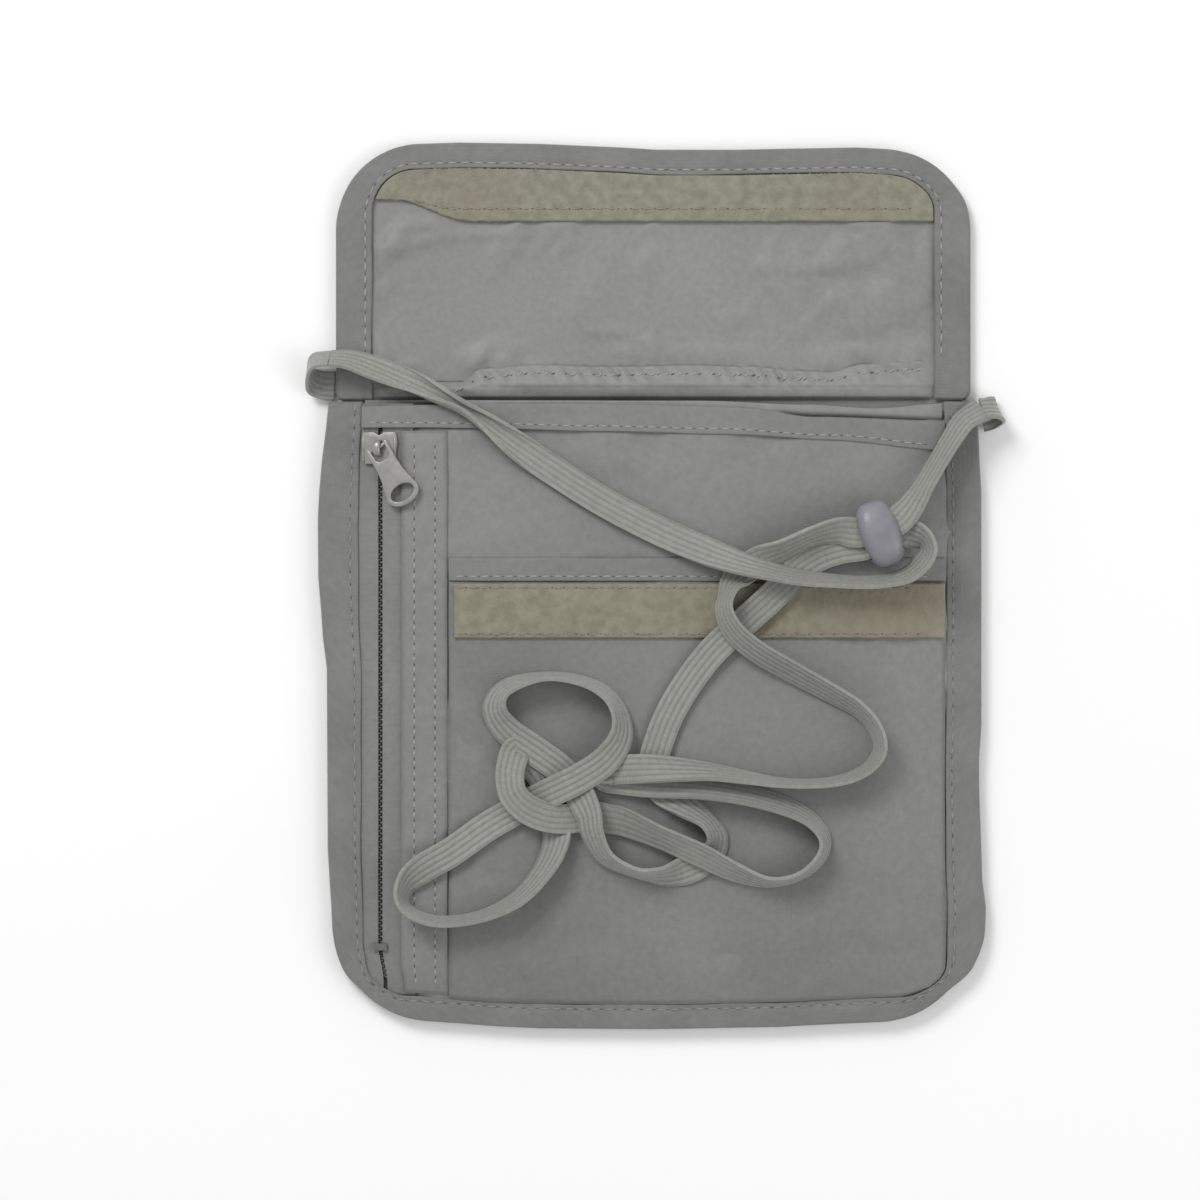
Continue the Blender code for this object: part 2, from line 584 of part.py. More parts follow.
clear_scene()
PARTS = new_collection("neck_pouch_wallet")
CUTTERS = new_collection("cutters")
BODY = Outline(BODY_WIDTH / 2, BODY_CORNER, BODY_BOTTOM, MOUTH_Y)
FLAP = Outline(FLAP_WIDTH / 2, FLAP_CORNER, FLAP_TOP, FLAP_ROOT)
make_pouch()
make_zip()
make_slider()
make_pull()
make_bead()
make_flap()
make_cord()
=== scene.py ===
import json
import math
import random

import bmesh
import bpy
from mathutils import Matrix, Vector, noise
from mathutils.bvhtree import BVHTree
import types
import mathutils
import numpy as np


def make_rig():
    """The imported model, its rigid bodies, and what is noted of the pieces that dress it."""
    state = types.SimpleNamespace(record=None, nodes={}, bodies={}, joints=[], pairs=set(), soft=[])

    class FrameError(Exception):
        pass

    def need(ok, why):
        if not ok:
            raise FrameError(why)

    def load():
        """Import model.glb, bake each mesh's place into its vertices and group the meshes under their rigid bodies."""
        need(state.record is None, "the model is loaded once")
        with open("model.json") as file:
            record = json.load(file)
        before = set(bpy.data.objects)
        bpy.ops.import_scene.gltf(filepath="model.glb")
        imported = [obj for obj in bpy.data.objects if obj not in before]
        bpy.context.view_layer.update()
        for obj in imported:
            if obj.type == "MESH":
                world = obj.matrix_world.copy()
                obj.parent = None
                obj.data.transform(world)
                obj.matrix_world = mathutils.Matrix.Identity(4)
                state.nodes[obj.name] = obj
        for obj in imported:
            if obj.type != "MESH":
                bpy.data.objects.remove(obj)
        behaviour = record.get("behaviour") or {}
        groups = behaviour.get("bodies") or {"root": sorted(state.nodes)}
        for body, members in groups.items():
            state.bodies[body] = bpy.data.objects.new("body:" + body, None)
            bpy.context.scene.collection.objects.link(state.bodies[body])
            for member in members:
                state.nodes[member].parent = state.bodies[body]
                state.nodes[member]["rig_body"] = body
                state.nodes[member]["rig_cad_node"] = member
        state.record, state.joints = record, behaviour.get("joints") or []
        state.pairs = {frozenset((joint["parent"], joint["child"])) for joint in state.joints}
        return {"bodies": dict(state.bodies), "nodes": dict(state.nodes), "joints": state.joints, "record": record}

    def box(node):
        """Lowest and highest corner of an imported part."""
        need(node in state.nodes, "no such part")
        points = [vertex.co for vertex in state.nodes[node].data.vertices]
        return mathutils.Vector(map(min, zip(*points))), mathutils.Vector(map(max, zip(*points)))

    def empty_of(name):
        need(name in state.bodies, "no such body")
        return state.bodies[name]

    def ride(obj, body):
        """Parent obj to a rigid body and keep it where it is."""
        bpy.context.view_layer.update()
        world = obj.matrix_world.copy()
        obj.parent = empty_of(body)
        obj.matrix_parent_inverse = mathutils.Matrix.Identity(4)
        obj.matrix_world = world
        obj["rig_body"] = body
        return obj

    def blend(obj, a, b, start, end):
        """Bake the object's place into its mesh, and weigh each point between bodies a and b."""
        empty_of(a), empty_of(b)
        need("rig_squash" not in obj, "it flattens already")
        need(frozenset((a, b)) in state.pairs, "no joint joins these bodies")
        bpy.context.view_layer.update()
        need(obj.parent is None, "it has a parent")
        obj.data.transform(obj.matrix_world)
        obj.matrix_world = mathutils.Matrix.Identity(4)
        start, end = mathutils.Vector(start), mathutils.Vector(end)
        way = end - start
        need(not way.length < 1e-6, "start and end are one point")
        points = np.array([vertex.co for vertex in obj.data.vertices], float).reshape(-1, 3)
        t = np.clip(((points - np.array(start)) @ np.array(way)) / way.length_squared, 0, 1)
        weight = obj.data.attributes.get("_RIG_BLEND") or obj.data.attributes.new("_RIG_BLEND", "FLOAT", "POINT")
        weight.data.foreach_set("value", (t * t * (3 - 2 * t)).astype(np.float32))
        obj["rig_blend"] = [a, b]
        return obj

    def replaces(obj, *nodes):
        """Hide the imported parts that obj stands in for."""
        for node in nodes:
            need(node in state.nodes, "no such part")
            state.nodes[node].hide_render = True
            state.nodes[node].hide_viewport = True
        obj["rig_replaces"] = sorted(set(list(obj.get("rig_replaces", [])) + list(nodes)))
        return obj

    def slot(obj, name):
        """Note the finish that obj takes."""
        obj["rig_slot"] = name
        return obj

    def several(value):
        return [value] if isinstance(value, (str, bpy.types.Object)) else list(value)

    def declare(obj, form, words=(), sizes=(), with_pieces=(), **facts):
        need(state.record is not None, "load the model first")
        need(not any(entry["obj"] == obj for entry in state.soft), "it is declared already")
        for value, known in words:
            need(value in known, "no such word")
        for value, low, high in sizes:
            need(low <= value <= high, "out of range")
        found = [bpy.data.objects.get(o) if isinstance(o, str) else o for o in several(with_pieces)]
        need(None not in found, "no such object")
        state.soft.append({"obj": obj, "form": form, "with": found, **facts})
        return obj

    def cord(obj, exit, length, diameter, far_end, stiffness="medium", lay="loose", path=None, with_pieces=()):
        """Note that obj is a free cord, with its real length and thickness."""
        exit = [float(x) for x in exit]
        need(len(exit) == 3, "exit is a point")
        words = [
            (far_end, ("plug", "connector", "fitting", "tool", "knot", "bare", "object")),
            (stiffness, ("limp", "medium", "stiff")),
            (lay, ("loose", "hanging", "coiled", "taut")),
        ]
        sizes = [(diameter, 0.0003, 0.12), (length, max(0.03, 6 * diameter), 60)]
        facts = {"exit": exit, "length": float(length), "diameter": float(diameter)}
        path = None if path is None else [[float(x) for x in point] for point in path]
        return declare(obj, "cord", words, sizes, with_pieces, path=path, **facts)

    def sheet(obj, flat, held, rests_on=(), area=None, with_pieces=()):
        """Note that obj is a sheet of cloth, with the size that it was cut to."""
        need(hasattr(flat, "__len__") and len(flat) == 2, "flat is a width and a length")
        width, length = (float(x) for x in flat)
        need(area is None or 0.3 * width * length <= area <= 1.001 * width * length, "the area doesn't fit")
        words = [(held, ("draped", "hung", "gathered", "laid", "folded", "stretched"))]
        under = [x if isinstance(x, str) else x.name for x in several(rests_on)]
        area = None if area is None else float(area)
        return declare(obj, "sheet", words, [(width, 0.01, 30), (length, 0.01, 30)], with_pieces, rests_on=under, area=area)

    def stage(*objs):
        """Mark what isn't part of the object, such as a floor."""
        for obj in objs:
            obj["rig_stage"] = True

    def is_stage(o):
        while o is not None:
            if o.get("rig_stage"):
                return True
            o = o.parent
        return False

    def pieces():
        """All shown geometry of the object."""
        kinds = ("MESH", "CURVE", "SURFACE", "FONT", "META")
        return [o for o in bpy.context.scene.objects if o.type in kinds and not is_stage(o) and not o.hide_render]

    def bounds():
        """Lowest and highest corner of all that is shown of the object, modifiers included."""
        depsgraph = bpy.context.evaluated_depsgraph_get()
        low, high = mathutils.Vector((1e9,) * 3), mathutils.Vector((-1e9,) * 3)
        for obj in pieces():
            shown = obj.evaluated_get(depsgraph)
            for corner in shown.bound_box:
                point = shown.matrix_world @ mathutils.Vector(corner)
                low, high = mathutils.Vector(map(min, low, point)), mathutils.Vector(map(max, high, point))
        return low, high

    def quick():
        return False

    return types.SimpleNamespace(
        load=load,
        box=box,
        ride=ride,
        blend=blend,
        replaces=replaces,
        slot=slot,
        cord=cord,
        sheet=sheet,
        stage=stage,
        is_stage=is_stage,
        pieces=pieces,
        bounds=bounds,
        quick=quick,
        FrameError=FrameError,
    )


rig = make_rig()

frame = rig.load()
CAD_BOX = [list(corner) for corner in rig.bounds()]
SCENE = bpy.context.scene
CHANCE = random.Random(7)

# ---------------------------------------------------------------- sizes, in metres
BODY_LOW, BODY_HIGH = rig.box("body_binding")
FLAP_LOW, FLAP_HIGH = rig.box("flap_binding")
FOLD_START = (0, 0.038, 0)
FOLD_END = (0, 0.046, 0)

# Binding tape: how far it covers the sides and the ends, its inner corner, and where its stitches run
SIDE_COVER = 0.008
END_COVER = 0.0055
INNER_CORNER = 0.0095
STITCH_SHARE = 0.18
BODY_CORNER = 0.023
FLAP_CORNER = 0.019
SEAM_INSET = 0.002
CLOTH = 0.00035
LINING = 0.0002
GAP = 0.0003

# Heights of the layers; a pair is the height at the side seams and in the middle
BACK_Z = 0.00065
BACK_LINING_Z = 0.0013
FRONT_LINING_Z = (0.0018, 0.0061)
FRONT_Z = (0.0023, 0.00665)
LOOP_STRIP_Z = 0.0018
SEAM_X = 0.0675
SEAM_Y = -0.095
RISE = 0.020
BODY_EDGE_HEIGHT = 0.0033
BODY_INNER_HEIGHT = 0.00425
FLAP_EDGE_HEIGHT = 0.0024
FLAP_INNER_HEIGHT = 0.0026
FLAP_TAPE_ROOT = 0.0415

ZIP_X = -0.0604
ZIP_GAP = 0.0009
ZIP_ENDS = (-0.0922, 0.0405)
TAPE_RIGHT = -0.053
FACING = (-0.0556, -0.0455)
FACING_ENDS = (-0.0915, 0.0344)
POCKET = (-0.0452, 0.0645)
POCKET_TOP = 0.0012
POCKET_HEM = (0.0013, 0.0064)
HOOK_STRIP = (-0.0112, 0.0007)
HOOK_INSET = 0.0012
MOUTH_HALF = 0.0646
SLIDER_Y = 0.0307
SLIDER_TILT = math.radians(15.6)

CORD_WIDTH = 0.0065
CORD_THICK = 0.0008
CORD_RIBS = 5
CORD_STEPS = 5
RIB_HEIGHT = 0.00005
SELVEDGE_HEIGHT = 0.0001
SELVEDGE_ROUND = 0.00025

# The cord's route: x, y and z of its middle, and how far it is rolled, in degrees
CORD_ROUTE = [
    (-0.0715, 0.0504, 0.0062, 60), (-0.0675, 0.0502, 0.0064, 52), (-0.0635, 0.0490, 0.0065, 42),
    (-0.0578, 0.0466, 0.0065, 36), (-0.0529, 0.0444, 0.0071, 30), (-0.0478, 0.0419, 0.0079, 24),
    (-0.0423, 0.0393, 0.0085, 20), (-0.0374, 0.0362, 0.0086, 16), (-0.0321, 0.0324, 0.0085, 10),
    (-0.0240, 0.0269, 0.0084, 6), (-0.0118, 0.0192, 0.0084, 0), (0.0003, 0.0128, 0.0088, 6),
    (0.0102, 0.0084, 0.0105, 20), (0.0179, 0.0055, 0.0125, 40), (0.0251, 0.0035, 0.0133, 55),
    (0.0321, 0.0020, 0.0134, 62), (0.0392, 0.0013, 0.0129, 68), (0.0458, 0.0009, 0.0125, 70),
    (0.0511, 0.0013, 0.0124, 68), (0.0559, 0.0026, 0.0123, 62), (0.0590, 0.0053, 0.0123, 58),
    (0.0605, 0.0079, 0.0122, 62), (0.0597, 0.0103, 0.0120, 55), (0.0573, 0.0116, 0.0117, 28),
    (0.0546, 0.0119, 0.0116, 0), (0.0498, 0.0103, 0.0115, 0), (0.0458, 0.0090, 0.0114, 0),
    (0.0415, 0.0084, 0.0108, 0), (0.0366, 0.0068, 0.0098, 0), (0.0327, 0.0044, 0.0096, 0),
    (0.0292, 0.0009, 0.0099, 0), (0.0247, -0.0035, 0.0101, 0), (0.0190, -0.0086, 0.0100, 0),
    (0.0129, -0.0143, 0.0096, 0), (0.0076, -0.0212, 0.0090, 0), (0.0036, -0.0280, 0.0090, 0),
    (0.0010, -0.0346, 0.0090, 0), (-0.0001, -0.0399, 0.0090, 0), (0.0018, -0.0448, 0.0091, 8),
    (0.0071, -0.0482, 0.0106, 35), (0.0119, -0.0517, 0.0116, 60), (0.0139, -0.0557, 0.0110, 48),
    (0.0115, -0.0598, 0.0090, 4), (0.0080, -0.0620, 0.0091, 8), (0.0040, -0.0632, 0.0102, 38),
    (0.0001, -0.0634, 0.0115, 62), (-0.0043, -0.0627, 0.0118, 72), (-0.0105, -0.0596, 0.0125, 60),
    (-0.0134, -0.0543, 0.0134, 46), (-0.0142, -0.0499, 0.0131, 34), (-0.0167, -0.0451, 0.0107, 6),
    (-0.0202, -0.0405, 0.0100, 0), (-0.0264, -0.0359, 0.0099, 4), (-0.0321, -0.0317, 0.0100, 22),
    (-0.0349, -0.0269, 0.0109, 40), (-0.0325, -0.0222, 0.0115, 62), (-0.0244, -0.0198, 0.0119, 78),
    (-0.0167, -0.0205, 0.0119, 76), (-0.0109, -0.0231, 0.0119, 70), (-0.0076, -0.0275, 0.0120, 62),
    (-0.0072, -0.0328, 0.0128, 44), (-0.0105, -0.0380, 0.0131, 20), (-0.0162, -0.0420, 0.0125, 8),
    (-0.0224, -0.0451, 0.0117, 0), (-0.0264, -0.0471, 0.0103, 0), (-0.0306, -0.0494, 0.0092, 0),
    (-0.0370, -0.0531, 0.0090, 0), (-0.0445, -0.0584, 0.0090, 0), (-0.0506, -0.0619, 0.0093, 14),
    (-0.0545, -0.0650, 0.0106, 48), (-0.0556, -0.0687, 0.0116, 70), (-0.0532, -0.0719, 0.0118, 76),
    (-0.0470, -0.0737, 0.0118, 76), (-0.0382, -0.0726, 0.0118, 74), (-0.0299, -0.0687, 0.0117, 64),
    (-0.0244, -0.0627, 0.0113, 54), (-0.0217, -0.0573, 0.0104, 36), (-0.0213, -0.0518, 0.0090, 6),
    (-0.0226, -0.0463, 0.0089, 0), (-0.0248, -0.0415, 0.0089, 0), (-0.0281, -0.0377, 0.0089, 0),
    (-0.0299, -0.0359, 0.0094, 0), (-0.0308, -0.0372, 0.0102, -4), (-0.0316, -0.0414, 0.0117, -18),
    (-0.0309, -0.0455, 0.0127, -20), (-0.0281, -0.0486, 0.0129, -12), (-0.0239, -0.0506, 0.0119, 0),
    (-0.0193, -0.0511, 0.0105, 0), (-0.0136, -0.0505, 0.0095, 0), (-0.0101, -0.0511, 0.0097, -6),
    (-0.0065, -0.0518, 0.0104, -22), (0.0009, -0.0548, 0.0125, -44), (0.0102, -0.0589, 0.0130, -42),
    (0.0179, -0.0627, 0.0122, -54), (0.0251, -0.0649, 0.0117, -72), (0.0317, -0.0638, 0.0116, -76),
    (0.0364, -0.0601, 0.0116, -72), (0.0377, -0.0557, 0.0116, -70), (0.0348, -0.0515, 0.0116, -66),
    (0.0291, -0.0484, 0.0115, -58), (0.0201, -0.0458, 0.0113, -52), (0.0102, -0.0442, 0.0112, -44),
    (0.0003, -0.0434, 0.0104, -20), (-0.0065, -0.0426, 0.0092, 0), (-0.0105, -0.0419, 0.0094, 0),
    (-0.0101, -0.0405, 0.0104, 0), (-0.0052, -0.0401, 0.0114, 6), (0.0014, -0.0400, 0.0128, 30),
    (0.0113, -0.0405, 0.0122, 58), (0.0201, -0.0418, 0.0119, 70), (0.0289, -0.0431, 0.0118, 78),
    (0.0388, -0.0429, 0.0118, 78), (0.0458, -0.0407, 0.0118, 74), (0.0496, -0.0365, 0.0118, 70),
    (0.0489, -0.0315, 0.0117, 68), (0.0449, -0.0269, 0.0116, 63), (0.0388, -0.0233, 0.0116, 56),
    (0.0300, -0.0185, 0.0120, 50), (0.0227, -0.0143, 0.0133, 48), (0.0176, -0.0099, 0.0134, 50),
    (0.0154, -0.0051, 0.0132, 60), (0.0163, -0.0011, 0.0120, 62), (0.0186, 0.0024, 0.0100, 26),
    (0.0228, 0.0055, 0.0099, -10), (0.0286, 0.0081, 0.0124, -48), (0.0348, 0.0110, 0.0132, -54),
    (0.0405, 0.0123, 0.0132, -34), (0.0449, 0.0119, 0.0128, -4), (0.0497, 0.0127, 0.0128, 0),
    (0.0535, 0.0145, 0.0128, 8), (0.0563, 0.0174, 0.0122, 35), (0.0593, 0.0220, 0.0110, 56),
    (0.0627, 0.0276, 0.0089, 58), (0.0659, 0.0329, 0.0079, 54), (0.0688, 0.0369, 0.0070, 48),
    (0.0728, 0.0393, 0.0061, 38),
]

# Where the cord crosses the mouth it curls up lengthways: a point's number, and half its arc in radians
CORD_CURLS = {3: 0.5, 4: 1.2, 5: 1.9, 6: 2.6, 7: 1.9, 8: 1.1}

# The cord's folded ends, sewn in at the pouch's top corners: their middle, up to where the cord starts
LEFT_ANCHOR = [
    (-0.0706, 0.0446, 0.0009), (-0.0733, 0.0448, 0.0008), (-0.0756, 0.0457, 0.0012),
    (-0.0764, 0.0473, 0.0026), (-0.0759, 0.0490, 0.0044), (-0.0743, 0.0501, 0.0057),
]
RIGHT_ANCHOR = [
    (0.0728, 0.0376, 0.0009), (0.0745, 0.0380, 0.0008), (0.0758, 0.0386, 0.0013),
    (0.0763, 0.0391, 0.0028), (0.0756, 0.0394, 0.0046), (0.0741, 0.0394, 0.0057),
]

# How far the sewn edges lie outside (-) or inside (+) the even outline, in mm: y or x, and the amount
LEFT_EDGE = [(-98, 1.6), (-85, 2.0), (-78, 1.9), (-71, 1.6), (-65, 1.2), (-58, 0.8), (-18, 0.6), (-11, -0.3),
             (-5, -0.7), (2, -1.3), (15, -1.4), (21, -1.1), (28, -0.5), (35, 0.4), (41, 1.0), (43, 0)]
RIGHT_EDGE = [(-98, 1.2), (-91, 1.2), (-85, 0.2), (-78, -0.6), (-71, -0.8), (-65, 0), (-58, 0.2), (-45, 0.7),
              (-38, 0.7), (-31, 0.2), (21, 0.2), (28, 0.6), (35, 0.9), (41, 1.6), (43, 0)]
BOTTOM_EDGE = [(-66, 1.8), (-60, 2.0), (-52, 1.8), (-43, 1.2), (-34, 0.5), (-25, 0.1), (0, -0.1), (28, 0.4),
               (37, 0.9), (46, 1.3), (55, 1.6), (63, 1.6)]
TOP_EDGE = [(-52, -0.3), (-43, -0.6), (-25, -0.3), (-7, 0.5), (1, 1.0), (19, 1.0), (28, 0.8), (45, 0.5),
            (55, 1.0)]
# Where that unevenness fades in, in mm: beyond the first number, over the second
SIDE_FADE = (61, 11)
CORNER_FADE = (78, 12)
CORNER_WIDER = 16
BOTTOM_FADE = (84, 8)
TOP_FADE = (84, 7)


# ---------------------------------------------------------------- small helpers
def between(low, high, share):
    return low + (high - low) * share


def clamp(t):
    return min(max(t, 0.0), 1.0)


def ease(t):
    """Rises steeply from 0 and levels off at 1, like cloth drawn up from a seam."""
    return 1 - (1 - clamp(t)) ** 2


def smooth(t):
    t = clamp(t)
    return t * t * (3 - 2 * t)


def along(knots, x):
    """The value at x of a line that runs smoothly through (x, value) knots."""
    if x <= knots[0][0]:
        return knots[0][1]
    for (x0, low), (x1, high) in zip(knots, knots[1:]):
        if x <= x1:
            return between(low, high, smooth((x - x0) / (x1 - x0)))
    return knots[-1][1]


def add_piece(name, bm, material, slot):
    mesh = bpy.data.meshes.new(name)
    bm.to_mesh(mesh)
    bm.free()
    mesh.shade_smooth()
    mesh.materials.append(material)
    piece = bpy.data.objects.new(name, mesh)
    SCENE.collection.objects.link(piece)
    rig.slot(piece, slot)
    return piece


def mapped_grid(columns, rows, place, size):
    """A grid whose vertices go to place(u, v), with u and v from 0 to 1, and a UV map of the cloth's size."""
    bm = bmesh.new()
    uv = bm.loops.layers.uv.new("cloth")
    bmesh.ops.create_grid(bm, x_segments=columns, y_segments=rows, size=1.0)
    for face in bm.faces:
        for loop in face.loops:
            u, v = (loop.vert.co.x + 1) / 2, (loop.vert.co.y + 1) / 2
            loop[uv].uv = (u * size[0], v * size[1])
    for vertex in bm.verts:
        vertex.co = place((vertex.co.x + 1) / 2, (vertex.co.y + 1) / 2)
    return bm


def round_edges(piece, width, angle):
    """Rounds the edges where two faces meet at more than an angle, in degrees."""
    roll = piece.modifiers.new("rounded_edges", "BEVEL")
    roll.width = width
    roll.segments = 3
    roll.limit_method = "ANGLE"
    roll.angle_limit = math.radians(angle)


def thicken(piece, thickness, offset=1.0, edge=0.0):
    """Gives a sheet its cloth's thickness and, where edge is given, rolls its edges."""
    cloth = piece.modifiers.new("thickness", "SOLIDIFY")
    cloth.thickness = thickness
    cloth.offset = offset
    cloth.use_even_offset = False
    if edge:
        round_edges(piece, edge, 50)


def ripple(x, y, size, height, seed=0.0):
    """Uneven cloth: soft noise of the given size and height."""
    return height * noise.noise(Vector((x / size, y / size, seed)))


def crease(x, y, start, end, width, height):
    """A soft ridge between two points, or a furrow where height is below zero."""
    a, b = Vector(start), Vector(end)
    line = b - a
    share = clamp((Vector((x, y)) - a).dot(line) / line.length_squared)
    distance = (Vector((x, y)) - a - line * share).length
    return height * math.exp(-((distance / width) ** 2)) * smooth(4 * min(share, 1 - share) + 0.15)


def table(rows, x):
    """The value at x of straight lines through (x, value) rows."""
    for (x0, low), (x1, high) in zip(rows, rows[1:]):
        if x <= x1:
            return between(low, high, clamp((x - x0) / (x1 - x0)))
    return rows[-1][1]


def settled(point):
    """Where the sewn and handled cloth really lies: its edges are not quite even or straight."""
    x, y = point.x * 1000, point.y * 1000
    inward = table(LEFT_EDGE, y) if x < 0 else -table(RIGHT_EDGE, y)
    corner = CORNER_WIDER * smooth((-CORNER_FADE[0] - y) / CORNER_FADE[1])
    shift = inward * smooth((abs(x) - SIDE_FADE[0] + corner) / (SIDE_FADE[1] + corner))
    lift = table(BOTTOM_EDGE, x) * smooth((-BOTTOM_FADE[0] - y) / BOTTOM_FADE[1])
    lift -= table(TOP_EDGE, x) * smooth((y - TOP_FADE[0]) / TOP_FADE[1])
    return Vector((point.x + shift / 1000, point.y + lift / 1000, point.z))


def settle(piece):
    for vertex in piece.data.vertices:
        vertex.co = settled(vertex.co)


# ---------------------------------------------------------------- the pouch's shape
def rise(x, y):
    return ease((SEAM_X - abs(x)) / RISE) * ease((y - SEAM_Y) / RISE)


def front_z(x, y):
    """Underside of the front panel and of the zip tapes beside it."""
    return between(*FRONT_Z, rise(x, y))


def front_top(x, y):
    return front_z(x, y) + CLOTH


def over_front_z(x, y):
    return front_z(x, y) + CLOTH + GAP


def over_pocket_z(x, y):
    return over_front_z(x, y) + CLOTH + GAP


class Outline:
    """Straight sides and one end with round corners; the other end, the root, is open."""

    def __init__(self, half, corner, end, root):
        self.half = half
        self.corner = corner
        self.end = end
        self.root = root
        self.way = 1 if end > root else -1

    def inset(self, side, end, corner):
        return Outline(self.half - side, corner, self.end - self.way * end, self.root)

    def half_at(self, y):
        depth = min(max(self.way * (self.end - y), 0.0), self.corner)
        return self.half - self.corner + math.sqrt(self.corner**2 - (self.corner - depth) ** 2)

    def splits(self):
        """Where the side and the corner end, as shares of the way from a root to the middle of the end."""
        side = abs(self.end - self.root) - self.corner
        arc = self.corner * math.pi / 2
        whole = side + arc + self.half - self.corner
        return side / whole, (side + arc) / whole

    def length(self):
        side = abs(self.end - self.root) - self.corner
        return 2 * (side + self.corner * math.pi / 2 + self.half - self.corner)

    def rim(self, v, splits):
        """A point on the outline, from the left root at v = 0 round the end to the right root at 1."""
        mirror = -1 if v < 0.5 else 1
        t = min(v, 1 - v) * 2
        first, second = splits
        shoulder = self.end - self.way * self.corner
        if t <= first:
            return Vector((mirror * self.half, between(self.root, shoulder, t / first), 0))
        if t <= second:
            angle = (t - first) / (second - first) * math.pi / 2
            x = self.half - self.corner * (1 - math.cos(angle))
            return Vector((mirror * x, shoulder + self.way * self.corner * math.sin(angle), 0))
        x = between(self.half - self.corner, 0, (t - second) / (1 - second))
        return Vector((mirror * x, self.end, 0))


BODY = Outline(BODY_HIGH.x, BODY_CORNER, BODY_LOW.y, BODY_HIGH.y)
FLAP = Outline(FLAP_HIGH.x, FLAP_CORNER, FLAP_HIGH.y, FLAP_LOW.y)
BODY_INNER = BODY.inset(SIDE_COVER, END_COVER, INNER_CORNER)
FLAP_INNER = FLAP.inset(SIDE_COVER, END_COVER, INNER_CORNER)
BODY_SEAM = BODY.inset(SEAM_INSET, SEAM_INSET, BODY_CORNER - SEAM_INSET)
FLAP_SEAM = FLAP.inset(SEAM_INSET, SEAM_INSET, FLAP_CORNER - SEAM_INSET)


def whole_half(y):
    """Half the width of the cloth that runs through from the pouch to the flap, at a height y."""
    return between(BODY_SEAM.half_at(y), FLAP_SEAM.half_at(y), smooth((y - 0.039) / 0.004))


# ---------------------------------------------------------------- materials
# A Mix node's factor, its two colours and its result, by number
FACTOR, LOW, HIGH, RESULT = 0, 6, 7, 2
# A wave pattern turns by this many radians for each metre at scale 1
WAVE_RATE = 20
# Sizes of the tapes' patterns: flecks of yarn, tufts of pile, and faded and yellowed patches
YARN_FLECK = 1 / 900
PILE_TUFT = 1 / 420
FADED_PATCH = 1 / 60
YELLOWED_PATCH = 1 / 28
CORD_PICK = 0.0009


def linear(colour):
    """An sRGB hex colour as linear values with alpha."""
    parts = [int(colour[i:i + 2], 16) / 255 for i in (1, 3, 5)]
    return [c / 12.92 if c <= 0.04045 else ((c + 0.055) / 1.055) ** 2.4 for c in parts] + [1.0]


def add_node(tree, kind, settings=None, inputs=None, links=None):
    """A node with its settings, its inputs' values, and links from (node, output) to its inputs."""
    node = tree.nodes.new(kind)
    for name, value in (settings or {}).items():
        setattr(node, name, value)
    for name, value in (inputs or {}).items():
        node.inputs[name].default_value = value
    for name, (source, output) in (links or {}).items():
        tree.links.new(source.outputs[output], node.inputs[name])
    return node


def start_material(name, roughness, **sockets):
    made = bpy.data.materials.new(name)
    made.use_nodes = True
    tree = made.node_tree
    shader = tree.nodes["Principled BSDF"]
    shader.inputs["Roughness"].default_value = roughness
    for socket, value in sockets.items():
        shader.inputs[socket.replace("_", " ")].default_value = value
    return made, tree, shader


def finish_surface(tree, shader, colour, height, strength, depth):
    """Gives the shader its colour, a Mix node, and its fine relief from a height, a (node, output) pair."""
    tree.links.new(colour.outputs[RESULT], shader.inputs["Base Color"])
    bump = add_node(tree, "ShaderNodeBump", None, {"Strength": strength, "Distance": depth},
                    {"Height": height})
    tree.links.new(bump.outputs["Normal"], shader.inputs["Normal"])


